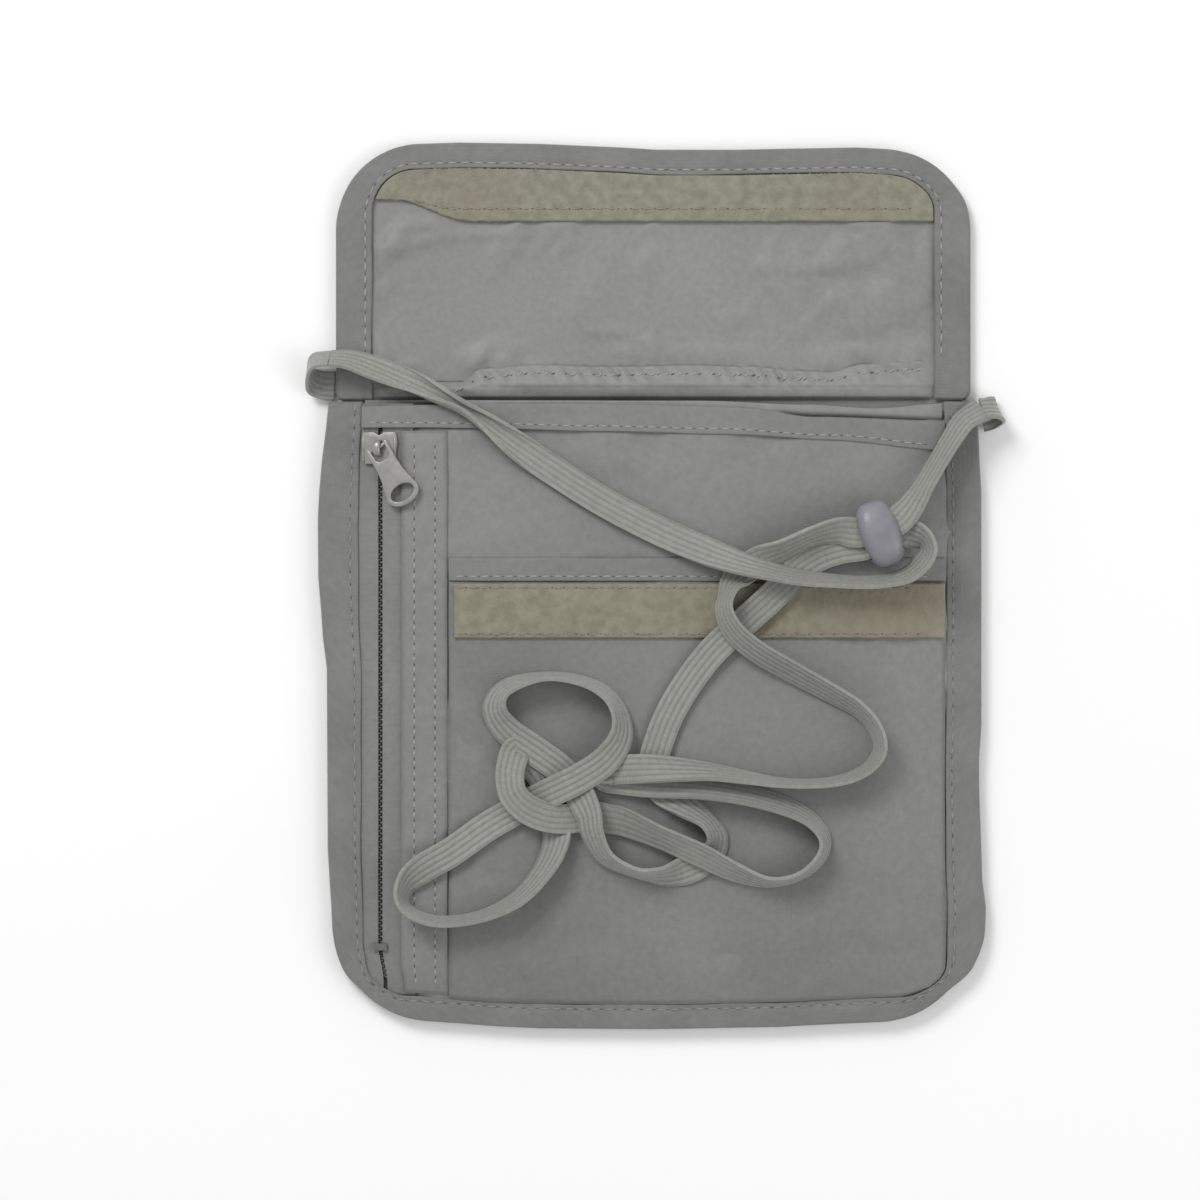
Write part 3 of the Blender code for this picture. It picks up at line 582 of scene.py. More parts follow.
def woven(name, light, dark, thread, depth, roughness, blotch, contrast=0.5, source="Object",
          ribs=(1.0, 1.0), sheen=0.15):
    """Woven cloth: threads that cross, a colour that wanders softly over blotches, and a faint sheen."""
    made, tree, shader = start_material(name, roughness, Sheen_Weight=sheen, Sheen_Roughness=0.5)
    place = add_node(tree, "ShaderNodeTexCoord")
    waves = [
        add_node(tree, "ShaderNodeTexWave", {"bands_direction": direction},
                 {"Scale": math.tau / thread / WAVE_RATE * rib, "Distortion": 0.6, "Detail": 1.0,
                  "Detail Scale": 1.5}, {"Vector": (place, source)})
        for direction, rib in zip("XY", ribs)
    ]
    crossed = add_node(tree, "ShaderNodeMath", {"operation": "ADD"}, None,
                       {0: (waves[0], "Fac"), 1: (waves[1], "Fac")})
    slubs = add_node(tree, "ShaderNodeTexNoise", None, {"Scale": 1 / (thread * 3), "Detail": 3.0},
                     {"Vector": (place, source)})
    worn = add_node(tree, "ShaderNodeTexNoise", None, {"Scale": 1 / blotch, "Detail": 2.0},
                    {"Vector": (place, "Object")})
    spread = add_node(tree, "ShaderNodeMapRange", None,
                      {"From Min": 0.5 - contrast / 2, "From Max": 0.5 + contrast / 2},
                      {"Value": (worn, "Fac")})
    base = add_node(tree, "ShaderNodeMix", {"data_type": "RGBA"}, {LOW: linear(dark), HIGH: linear(light)},
                    {FACTOR: (spread, "Result")})
    flecks = add_node(tree, "ShaderNodeMapRange", None,
                      {"From Min": 0.3, "From Max": 0.7, "To Min": 0.93, "To Max": 1.06},
                      {"Value": (slubs, "Fac")})
    tint = add_node(tree, "ShaderNodeMix", {"data_type": "RGBA", "blend_type": "MULTIPLY"}, {FACTOR: 1.0},
                    {LOW: (base, RESULT), HIGH: (flecks, "Result")})
    height = add_node(tree, "ShaderNodeMath", {"operation": "MULTIPLY_ADD"}, {1: 0.5},
                      {0: (crossed, "Value"), 2: (slubs, "Fac")})
    finish_surface(tree, shader, tint, (height, "Value"), 0.6, depth)
    return made


def make_materials():
    made = {}
    # Nylon taffeta, plain woven from filament yarn: smooth and flat, with a faint cool sheen.
    # Its real 0.15 mm threads are too fine to show, so they are drawn 0.55 mm apart.
    made["taffeta"] = woven("nylon_taffeta", "#848483", "#797977", 0.00055, 0.00004, 0.62, 0.05)
    # The patch pocket is the same taffeta, handled more: a shade darker, and uneven in smaller blotches.
    made["patch"] = woven("nylon_taffeta_patch", "#7f7f7c", "#737370", 0.00055, 0.00004, 0.62, 0.045)
    # The lining is the same nylon, thinner and coated on its back: a little paler and smoother.
    made["lining"] = woven("coated_lining", "#8b8c88", "#80817e", 0.0005, 0.00003, 0.55, 0.05)
    # Grosgrain binding: a ribbed tape, its ribs across it, matt and slightly darker where it is handled.
    made["binding"] = woven("grosgrain_binding", "#7e7e7d", "#70706f", 0.0007, 0.00008, 0.82, 0.014, 0.6,
                            "UV", (0.6, 1.0), 0.25)
    # Folded and topstitched taffeta of the hems: paler where the fold catches the light.
    made["hem"] = woven("taffeta_hem", "#80807f", "#747473", 0.00055, 0.00004, 0.65, 0.03)
    # Zip tape: a dense twill in polyester, matt.
    made["zip_tape"] = woven("polyester_zip_tape", "#828380", "#757674", 0.0006, 0.00006, 0.8, 0.03, 0.6,
                             "UV", (1.0, 0.5))
    made["cord"] = cord_material()
    # Die-cast zinc under grey lacquer: satin, with soft lights on its rounded edges.
    made["lacquer"] = plain_material("lacquered_zinc", "#9c9b97", 0.36, 0.0012, 0.00002, Metallic=0.35)
    # The bottom stop's lacquer is worn dull: it hardly stands out from the tape.
    made["dull_lacquer"] = plain_material("dull_lacquered_zinc", "#6b6c6c", 0.55, 0.0012, 0.00002,
                                          Metallic=0.2)
    return made


def cord_material():
    """Woven polyester cord tape, satin: ribs lengthways, paler on their tops with painted light and greyer in the
    furrows between with painted shade, fine picks across.
    """
    made, tree, shader = start_material("woven_cord_tape", 0.7, Sheen_Weight=0.3, Sheen_Roughness=0.5)
    place = add_node(tree, "ShaderNodeTexCoord")
    ribs = add_node(tree, "ShaderNodeTexWave", {"bands_direction": "X", "wave_profile": "SIN"},
                    {"Scale": math.tau * CORD_RIBS / CORD_WIDTH / WAVE_RATE, "Phase Offset": -math.pi / 2},
                    {"Vector": (place, "UV")})
    picks = add_node(tree, "ShaderNodeTexWave", {"bands_direction": "Y"},
                     {"Scale": math.tau / CORD_PICK / WAVE_RATE, "Distortion": 1.0, "Detail": 1.0},
                     {"Vector": (place, "UV")})
    yarn = add_node(tree, "ShaderNodeTexNoise", None, {"Scale": 1 / YARN_FLECK, "Detail": 3.0},
                    {"Vector": (place, "UV")})
    wear = add_node(tree, "ShaderNodeTexNoise", None, {"Scale": 1 / FADED_PATCH, "Detail": 2.0},
                    {"Vector": (place, "UV")})
    spread = add_node(tree, "ShaderNodeMapRange", None, {"From Min": 0.05, "From Max": 0.55},
                      {"Value": (ribs, "Fac")})
    # Painted light and shade: the colour follows the ribs' relief, paler on the rib tops and greyer in the furrows.
    base = add_node(tree, "ShaderNodeMix", {"data_type": "RGBA"},
                    {LOW: linear("#7e7f78"), HIGH: linear("#90908a")}, {FACTOR: (spread, "Result")})
    tone = add_node(tree, "ShaderNodeMapRange", None,
                    {"From Min": 0.3, "From Max": 0.7, "To Min": 0.92, "To Max": 1.06},
                    {"Value": (wear, "Fac")})
    fleck = add_node(tree, "ShaderNodeMapRange", None,
                     {"From Min": 0.25, "From Max": 0.75, "To Min": 0.88, "To Max": 1.1},
                     {"Value": (yarn, "Fac")})
    both = add_node(tree, "ShaderNodeMath", {"operation": "MULTIPLY"}, None,
                    {0: (tone, "Result"), 1: (fleck, "Result")})
    tint = add_node(tree, "ShaderNodeMix", {"data_type": "RGBA", "blend_type": "MULTIPLY"}, {FACTOR: 1.0},
                    {LOW: (base, RESULT), HIGH: (both, "Value")})
    height = add_node(tree, "ShaderNodeMath", {"operation": "MULTIPLY_ADD"}, {1: 0.35},
                      {0: (picks, "Fac"), 2: (ribs, "Fac")})
    finish_surface(tree, shader, tint, (height, "Value"), 0.6, 0.0001)
    return made


def pile_material(name, light, dark, warm):
    """Hook and loop tape: napped nylon, dead matt, mottled by its tangled fibres."""
    made, tree, shader = start_material(name, 0.95, Sheen_Weight=0.4, Sheen_Roughness=0.6)
    place = add_node(tree, "ShaderNodeTexCoord")
    fine = add_node(tree, "ShaderNodeTexNoise", None, {"Scale": 1 / YARN_FLECK, "Detail": 4.0},
                    {"Vector": (place, "Object")})
    wide = add_node(tree, "ShaderNodeTexNoise", None, {"Scale": 1 / PILE_TUFT, "Detail": 4.0},
                    {"Vector": (place, "Object")})
    patch = add_node(tree, "ShaderNodeTexNoise", None, {"Scale": 1 / YELLOWED_PATCH, "Detail": 1.0},
                     {"Vector": (place, "Object")})
    spread = add_node(tree, "ShaderNodeMapRange", None, {"From Min": 0.35, "From Max": 0.65},
                      {"Value": (wide, "Fac")})
    base = add_node(tree, "ShaderNodeMix", {"data_type": "RGBA"}, {LOW: linear(dark), HIGH: linear(light)},
                    {FACTOR: (spread, "Result")})
    turn = add_node(tree, "ShaderNodeMapRange", None, {"From Min": 0.5, "From Max": 0.75, "To Max": 0.5},
                    {"Value": (patch, "Fac")})
    warmed = add_node(tree, "ShaderNodeMix", {"data_type": "RGBA"}, {HIGH: linear(warm)},
                      {FACTOR: (turn, "Result"), LOW: (base, RESULT)})
    finish_surface(tree, shader, warmed, (fine, "Fac"), 0.9, 0.0002)
    return made


def plain_material(name, colour, roughness, grain, depth, **sockets):
    """A smooth hard finish with a little grain and unevenness of its own."""
    made, tree, shader = start_material(name, roughness, **sockets)
    place = add_node(tree, "ShaderNodeTexCoord")
    spots = add_node(tree, "ShaderNodeTexNoise", None, {"Scale": 1 / grain, "Detail": 3.0},
                     {"Vector": (place, "Object")})
    shade = add_node(tree, "ShaderNodeMapRange", None,
                     {"From Min": 0.3, "From Max": 0.7, "To Min": 0.9, "To Max": 1.08},
                     {"Value": (spots, "Fac")})
    tint = add_node(tree, "ShaderNodeMix", {"data_type": "RGBA", "blend_type": "MULTIPLY"},
                    {FACTOR: 1.0, LOW: linear(colour)}, {HIGH: (shade, "Result")})
    finish_surface(tree, shader, tint, (spots, "Fac"), 0.3, depth)
    return made


# ---------------------------------------------------------------- camera, light and floor
# The view from straight above: its middle, and the width that it takes in at a level and from a distance
VIEW_MIDDLE = (-0.0118, -0.0029)
VIEW_WIDTH = 0.2652
VIEW_LEVEL = 0.006
VIEW_DISTANCE = 1.25
SENSOR_WIDTH = 36.0
FLOOR_Z = -0.0006
FLOOR_HALF = 3.0
# Soft boxes: name, place, size and power
LAMPS = (
    ("key", (-0.55, 0.75, 0.95), 0.5, 9.0),
    ("fill", (0.9, -0.3, 0.8), 0.9, 4.0),
)


def set_the_stage():
    lens = bpy.data.cameras.new("camera")
    lens.sensor_width = SENSOR_WIDTH
    lens.lens = SENSOR_WIDTH * VIEW_DISTANCE / VIEW_WIDTH
    camera = bpy.data.objects.new("camera", lens)
    camera.location = (*VIEW_MIDDLE, VIEW_DISTANCE + VIEW_LEVEL)
    SCENE.collection.objects.link(camera)
    bpy.context.scene.camera = camera

    world = bpy.data.worlds.new("studio")
    world.use_nodes = True
    sky = world.node_tree.nodes["Background"]
    sky.inputs["Color"].default_value = (1.0, 1.0, 1.0, 1.0)
    sky.inputs["Strength"].default_value = 0.55
    SCENE.world = world
    SCENE.view_settings.view_transform = "Standard"

    for name, place, size, power in LAMPS:
        lamp = bpy.data.lights.new(name, "AREA")
        lamp.size = size
        lamp.energy = power
        light = bpy.data.objects.new(name, lamp)
        light.location = place
        light.rotation_euler = (-Vector(place)).to_track_quat("-Z", "Y").to_euler()
        SCENE.collection.objects.link(light)

    # White paper: matt, without any gloss.
    paper, _, shader = start_material("white_paper", 0.9, Base_Color=linear("#fbfbfb"))
    shader.inputs["Specular IOR Level"].default_value = 0.0
    bm = bmesh.new()
    bmesh.ops.create_grid(bm, x_segments=1, y_segments=1, size=FLOOR_HALF)
    bmesh.ops.translate(bm, vec=(0, 0, FLOOR_Z), verts=bm.verts)
    mesh = bpy.data.meshes.new("floor")
    bm.to_mesh(mesh)
    bm.free()
    mesh.materials.append(paper)
    floor = bpy.data.objects.new("floor", mesh)
    SCENE.collection.objects.link(floor)
    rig.stage(floor)


# ---------------------------------------------------------------- the neck cord
def smooth_line(points, steps):
    """Points on a Catmull-Rom curve through the given ones, with steps in each stretch."""
    line = []
    ends = [points[0] * 2 - points[1]] + list(points) + [points[-1] * 2 - points[-2]]
    for p0, p1, p2, p3 in zip(ends, ends[1:], ends[2:], ends[3:]):
        for i in range(steps):
            t = i / steps
            line.append(0.5 * (2 * p1 + (p2 - p0) * t + (2 * p0 - 5 * p1 + 4 * p2 - p3) * t * t
                               + (3 * p1 - p0 - 3 * p2 + p3) * t**3))
    return line + [points[-1]]


def half_widths(centres, rolls):
    """For each centre, the direction from it to the tape's edge, rolled about the tape's way ahead."""
    sides = []
    for i, centre in enumerate(centres):
        ahead = centres[min(i + 1, len(centres) - 1)] - centres[max(i - 1, 0)]
        level = ahead.cross(Vector((0, 0, 1))).normalized()
        upright = level.cross(ahead).normalized()
        roll = math.radians(rolls[i])
        side = level * math.cos(roll) + upright * math.sin(roll)
        if sides and side.dot(sides[-1]) < 0:
            side = -side
        sides.append(side)
    return sides


def make_tape(name, centres, sides, curls, material):
    """A flat woven tape along a smooth line, with ribs lengthways and a thicker selvedge on each side."""
    line = smooth_line(centres, CORD_STEPS)
    turns = smooth_line(sides, CORD_STEPS)
    arcs = smooth_line([Vector((curls.get(i, 0.0), 0, 0)) for i in range(len(centres))], CORD_STEPS)
    length = sum((b - a).length for a, b in zip(line, line[1:]))

    def place(u, v):
        i = round(v * (len(line) - 1))
        ahead = (line[min(i + 1, len(line) - 1)] - line[max(i - 1, 0)]).normalized()
        side = (turns[i] - ahead * turns[i].dot(ahead)).normalized()
        upward = side.cross(ahead)
        arc = max(arcs[i].x, 0.01)
        radius = CORD_WIDTH / (2 * arc)
        angle = 2 * arc * (u - 0.5)
        rib = RIB_HEIGHT * math.cos(math.tau * CORD_RIBS * (u - 0.5)) + SELVEDGE_HEIGHT * abs(2 * u - 1) ** 6
        outward = upward * math.cos(angle) - side * math.sin(angle)
        curled = side * radius * math.sin(angle) + upward * radius * (1 - math.cos(angle))
        return line[i] + curled + outward * rib

    bm = mapped_grid(4 * CORD_RIBS, len(line) - 1, place, (CORD_WIDTH, length))
    tape = add_piece(name, bm, material, "cord_tape")
    thicken(tape, CORD_THICK, 0.0, SELVEDGE_ROUND)
    return tape, line, length


def make_cord(material):
    centres = [Vector(point[:3]) for point in CORD_ROUTE]
    sides = half_widths(centres, [point[3] for point in CORD_ROUTE])
    cord, line, length = make_tape("neck_cord_tape", centres, sides, CORD_CURLS, material)
    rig.replaces(cord, "neck_cord")
    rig.blend(cord, "pouch", "flap", FOLD_START, FOLD_END)
    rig.cord(cord, exit=line[0], length=length, diameter=CORD_WIDTH, far_end="object", stiffness="limp",
            lay="loose", path=line)
    ends = (("left", LEFT_ANCHOR, centres[0], sides[0]), ("right", RIGHT_ANCHOR, centres[-1], sides[-1]))
    for side, points, meeting, edge in ends:
        middles = [Vector(point) for point in points] + [meeting]
        flat = Vector((0, math.copysign(1, edge.y), 0))
        widths = [flat.lerp(edge, i / (len(points) - 1)) for i in range(len(points))] + [edge]
        end, _, _ = make_tape(f"cord_end_{side}", middles, widths, {}, material)
        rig.replaces(end, f"cord_anchor_{side}")
        if side == "left":
            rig.blend(end, "pouch", "flap", FOLD_START, FOLD_END)
        else:
            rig.ride(end, "pouch")


# ---------------------------------------------------------------- cloth
BUCKLE_FRAMES = 24
BUCKLE_SIZE = 0.014
BUCKLE_START = 0.0004
LINING_INSET = 0.0002


def buckle(piece, spare, low, high, pinned):
    """Cut spare larger than its seams, the cloth buckles between them. It stays between low and high."""
    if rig.quick():
        return
    rest = [vertex.co.copy() for vertex in piece.data.vertices]
    held = [i for i, co in enumerate(rest) if pinned(co)]
    group = piece.vertex_groups.new(name="seams")
    group.add(held, 1.0, "REPLACE")
    for vertex in piece.data.vertices:
        vertex.co.z += ripple(vertex.co.x, vertex.co.y, BUCKLE_SIZE, BUCKLE_START, 3.0)
    cloth = piece.modifiers.new("cloth", "CLOTH")
    cloth.settings.quality = 6
    cloth.settings.mass = 0.1
    cloth.settings.tension_stiffness = 20
    cloth.settings.compression_stiffness = 20
    cloth.settings.shear_stiffness = 8
    cloth.settings.bending_stiffness = 0.4
    cloth.settings.shrink_min = -spare
    cloth.settings.effector_weights.gravity = 0
    cloth.settings.vertex_group_mass = "seams"
    cloth.collision_settings.use_collision = False
    cloth.point_cache.frame_end = BUCKLE_FRAMES
    for number in range(1, BUCKLE_FRAMES + 1):
        SCENE.frame_set(number)
    moved = piece.evaluated_get(bpy.context.evaluated_depsgraph_get()).to_mesh()
    ends = [vertex.co.copy() for vertex in moved.vertices]
    piece.modifiers.remove(cloth)
    SCENE.frame_set(1)
    for vertex, start, end in zip(piece.data.vertices, rest, ends):
        lift = end.z - start.z
        limit = high if lift > 0 else -low
        slide = (end - start) * 0.5
        slide.z = limit * math.tanh(lift / limit)
        vertex.co = start + slide


def add_creases(piece, creases, freedom):
    """Halves a sheet's squares and draws its creases, each as high as freedom(x, y) lets the cloth lift."""
    finer = bmesh.new()
    finer.from_mesh(piece.data)
    bmesh.ops.subdivide_edges(finer, edges=finer.edges, cuts=1, use_grid_fill=True, smooth=0.5)
    for vertex in finer.verts:
        x, y = vertex.co.x, vertex.co.y
        for start, end, width, height in creases:
            vertex.co.z += freedom(x, y) * crease(x, y, start, end, width, height)
    finer.to_mesh(piece.data)
    finer.free()
    piece.data.shade_smooth()


# The lower lining's folded edge, which overlaps the flap's lining: x and y
SEAM_EDGE = [
    (-0.066, 0.0452), (-0.043, 0.0453), (-0.038, 0.0484), (-0.026, 0.0492), (-0.010, 0.0488),
    (0.008, 0.0491), (0.022, 0.0488), (0.032, 0.0479), (0.039, 0.0476), (0.047, 0.0494), (0.058, 0.0501),
]
# The lower lining: its fine rows start just inside the mouth, and its crest stands up over the fold
FINE_ROWS = (0.0385, 0.35)
CREST = (0.0002, 0.0020)
PUCKER_SPACING = 0.0036
PUCKER_HEIGHT = 0.0004


def make_cloth(materials):
    """The two sheets that run through from the pouch to the flap."""
    ends = (BODY_SEAM.end, FLAP_SEAM.end)

    def whole_row(v):
        """Rows close up at both ends, where the corners are round."""
        return between(*ends, 0.5 - 0.5 * math.cos(math.pi * between(0.04, 0.96, v)) if 0 < v < 1 else v)

    def back(u, v):
        y = whole_row(v)
        x = (2 * u - 1) * whole_half(y)
        inner = clamp((0.063 - abs(x)) / 0.02)
        return Vector((x, y, BACK_Z + inner * abs(ripple(x, y, 0.03, 0.0003, 5.0))))

    back_cloth = add_piece("back_cloth", mapped_grid(60, 90, back, (0.14, 0.19)), materials["taffeta"],
                           "nylon_taffeta")
    settle(back_cloth)
    thicken(back_cloth, CLOTH)
    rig.replaces(back_cloth, "back_panel", "flap_outer_panel")
    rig.blend(back_cloth, "pouch", "flap", FOLD_START, FOLD_END)
    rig.sheet(back_cloth, flat=(0.142, 0.192), held="stretched", rests_on=["body_binding"])

    def lower(u, v):
        """Flat in the pouch, then a crest over the mouth and a puckered seam on the flap's lining."""
        x_share = 2 * u - 1
        top = along(SEAM_EDGE, x_share * FLAP_SEAM.half)
        start, share = FINE_ROWS
        if v > share:
            y = between(start, top, (v - share) / (1 - share))
        else:
            y = between(ends[0], start, v / share)
        x = x_share * (whole_half(y) - LINING_INSET)
        z = BACK_LINING_Z
        under = smooth((0.0628 - abs(x)) / 0.004)
        crest = 0.75 * smooth((y - 0.0414) / 0.0010) + 0.25 * smooth((y - 0.0416) / 0.0026)
        crest *= between(1, 0.28, smooth((y - 0.0438) / (top - 0.0440)))
        z += crest * between(*CREST, under) + 0.00035 * smooth((y - 0.0440) / 0.0010)
        fold = smooth((y - top + 0.0050) / 0.0030)
        slant = (x + 0.7 * (y - top)) / PUCKER_SPACING + 0.7 * noise.noise(Vector((x * 110, 0, 1)))
        pucker = math.cos(math.tau * slant) * (0.6 + noise.noise(Vector((x * 60, 4, 1))))
        z += under * fold * PUCKER_HEIGHT * pucker - 0.0004 * smooth((y - top + 0.0005) / 0.0005)
        z += under * crest * (ripple(x, y * 2.5, 0.012, 0.0005, 2.0) + ripple(x, y, 0.004, 0.0002, 6.0))
        return Vector((x, y, max(z, BACK_LINING_Z)))

    lining = add_piece("compartment_lining", mapped_grid(240, 70, lower, (0.14, 0.14)), materials["lining"],
                       "lining_cloth")
    settle(lining)
    thicken(lining, LINING)
    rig.replaces(lining, "back_lining", "flap_root_lining")
    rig.blend(lining, "pouch", "flap", FOLD_START, FOLD_END)
    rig.sheet(lining, flat=(0.142, 0.144), held="stretched", rests_on=["back_panel"])


# Creases of the flap's lining: start, end, width and height
FLAP_CREASES = [
    ((-0.0410, 0.0470), (-0.0355, 0.0550), 0.0011, 0.0009),
    ((-0.0395, 0.0462), (-0.0335, 0.0535), 0.0012, -0.0005),
    ((-0.0625, 0.0745), (-0.0330, 0.0800), 0.0022, 0.0007),
    ((-0.0640, 0.0680), (-0.0360, 0.0770), 0.0030, -0.0004),
    ((-0.0630, 0.0830), (-0.0430, 0.0795), 0.0016, 0.0006),
    ((0.0330, 0.0500), (0.0640, 0.0540), 0.0022, 0.0008),
    ((0.0400, 0.0500), (0.0640, 0.0575), 0.0028, -0.0004),
    ((-0.0120, 0.0520), (0.0260, 0.0515), 0.0020, 0.0006),
    ((0.0300, 0.0700), (0.0480, 0.0560), 0.0035, 0.0005),
    ((-0.0200, 0.0560), (-0.0060, 0.0780), 0.0045, 0.0004),
]
# The flap's lining is sewn down beyond these lines: its sides, and its lower and upper ends
FLAP_LINING_SIDE = 0.0615
FLAP_LINING_LOW = 0.0478
FLAP_LINING_HIGH = 0.0815


def make_flap_lining(materials):
    def place(u, v):
        y = between(0.0450, FLAP_SEAM.end, v)
        x = (2 * u - 1) * (FLAP_SEAM.half_at(y) - LINING_INSET)
        return Vector((x, y, BACK_LINING_Z + 0.0001))

    piece = add_piece("flap_lining_cloth", mapped_grid(68, 26, place, (0.136, 0.05)), materials["lining"],
                      "lining_cloth")

    def pinned(co):
        return abs(co.x) > FLAP_LINING_SIDE or not FLAP_LINING_LOW <= co.y <= FLAP_LINING_HIGH

    def freedom(x, y):
        return smooth((FLAP_LINING_HIGH - y) / 0.004) * smooth((0.0640 - abs(x)) / 0.003)

    buckle(piece, 0.035, -0.0001, 0.0012, pinned)
    add_creases(piece, FLAP_CREASES, freedom)
    for vertex in piece.data.vertices:
        vertex.co.z = max(vertex.co.z, BACK_LINING_Z)
    settle(piece)
    thicken(piece, LINING)
    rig.replaces(piece, "flap_lining")
    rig.ride(piece, "flap")
    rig.sheet(piece, flat=(0.136, 0.051), held="stretched", rests_on=["flap_outer_panel"])


# Creases of the patch pocket and of the front panel above it: start, end, width and height
PATCH_CREASES = [
    ((-0.0400, -0.0190), (-0.0150, -0.0230), 0.0030, 0.00030),
    ((-0.0420, -0.0620), (-0.0100, -0.0800), 0.0050, 0.00030),
    ((-0.0050, -0.0720), (0.0380, -0.0560), 0.0050, 0.00030),
    ((0.0100, -0.0880), (0.0600, -0.0760), 0.0045, -0.00025),
    ((0.0450, -0.0250), (0.0560, -0.0700), 0.0045, 0.00030),
    ((-0.0300, -0.0850), (0.0200, -0.0860), 0.0035, 0.00028),
]
FRONT_CREASES = [
    ((-0.0350, 0.0260), (-0.0220, 0.0080), 0.0045, 0.0004),
    ((-0.0050, 0.0290), (0.0280, 0.0120), 0.0060, 0.0003),
    ((0.0280, 0.0180), (0.0560, 0.0270), 0.0050, 0.0004),
    ((0.0560, 0.0280), (0.0620, 0.0080), 0.0030, 0.0004),
]


PANEL_STEP = 0.0026


def make_panel(name, sides, ends, underside, material, creases, spare, low, high, outline):
    """A taffeta panel of the front, buckled a little between its seams, with its creases."""

    def place(u, v):
        y = between(*ends, v)
        reach = outline.half_at(y)
        x = between(max(sides[0], -reach), min(sides[1], reach), u)
        return Vector((x, y, underside(x, y)))

    size = (sides[1] - sides[0], ends[1] - ends[0])
    columns, rows = (math.ceil(side / PANEL_STEP) for side in size)
    piece = add_piece(name, mapped_grid(columns, rows, place, size), material, "nylon_taffeta")

    def pinned(co):
        reach = outline.half_at(co.y)
        left, right = max(sides[0], -reach), min(sides[1], reach)
        return min(co.x - left, right - co.x, co.y - ends[0], ends[1] - co.y) < PANEL_STEP * 0.6

    buckle(piece, spare, low, high, pinned)
    add_creases(piece, creases, lambda x, y: 1.0)
    settle(piece)
    thicken(piece, CLOTH)
    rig.ride(piece, "pouch")
    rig.sheet(piece, flat=size, held="stretched", rests_on=["body_binding"])
    return piece


# The hem at the mouth: its upper and lower edges, and the edge of the wall behind it, as x and y
HEM_TOP = [(-0.0646, 0.0400), (-0.040, 0.0403), (-0.012, 0.0404), (0.018, 0.0396), (0.036, 0.0374),
           (0.0646, 0.0366)]
HEM_LOW = [(-0.0646, 0.0352), (-0.040, 0.0350), (-0.012, 0.0344), (0.014, 0.0338), (0.039, 0.0324),
           (0.0646, 0.0302)]
WALL_TOP = [(-0.0646, 0.0414), (-0.030, 0.0412), (0.010, 0.0411), (0.034, 0.0402), (0.049, 0.0394),
            (0.0646, 0.0406)]
# How far the wall's own hem gapes behind the mouth's hem: right of the first x, and left of the second
GAPE_RIGHT = 0.026
GAPE_LEFT = -0.043


def make_band(name, sides, low, high, underside, thickness, material, slot, edge, columns, rows, wave=0.0):
    """A band of folded cloth between two lines across the pouch, low(x) and high(x), on the pouch."""

    def place(u, v):
        x = between(*sides, u)
        y = between(low(x), high(x), v) + ripple(x, v, 0.02, wave, 4.0)
        return Vector((x, y, underside(x, y) + ripple(x, y * 3, 0.009, wave * 0.5, 8.0)))

    size = (sides[1] - sides[0], high(0) - low(0))
    piece = add_piece(name, mapped_grid(columns, rows, place, size), material, slot)
    settle(piece)
    thicken(piece, thickness, 1.0, edge)
    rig.ride(piece, "pouch")
    return piece


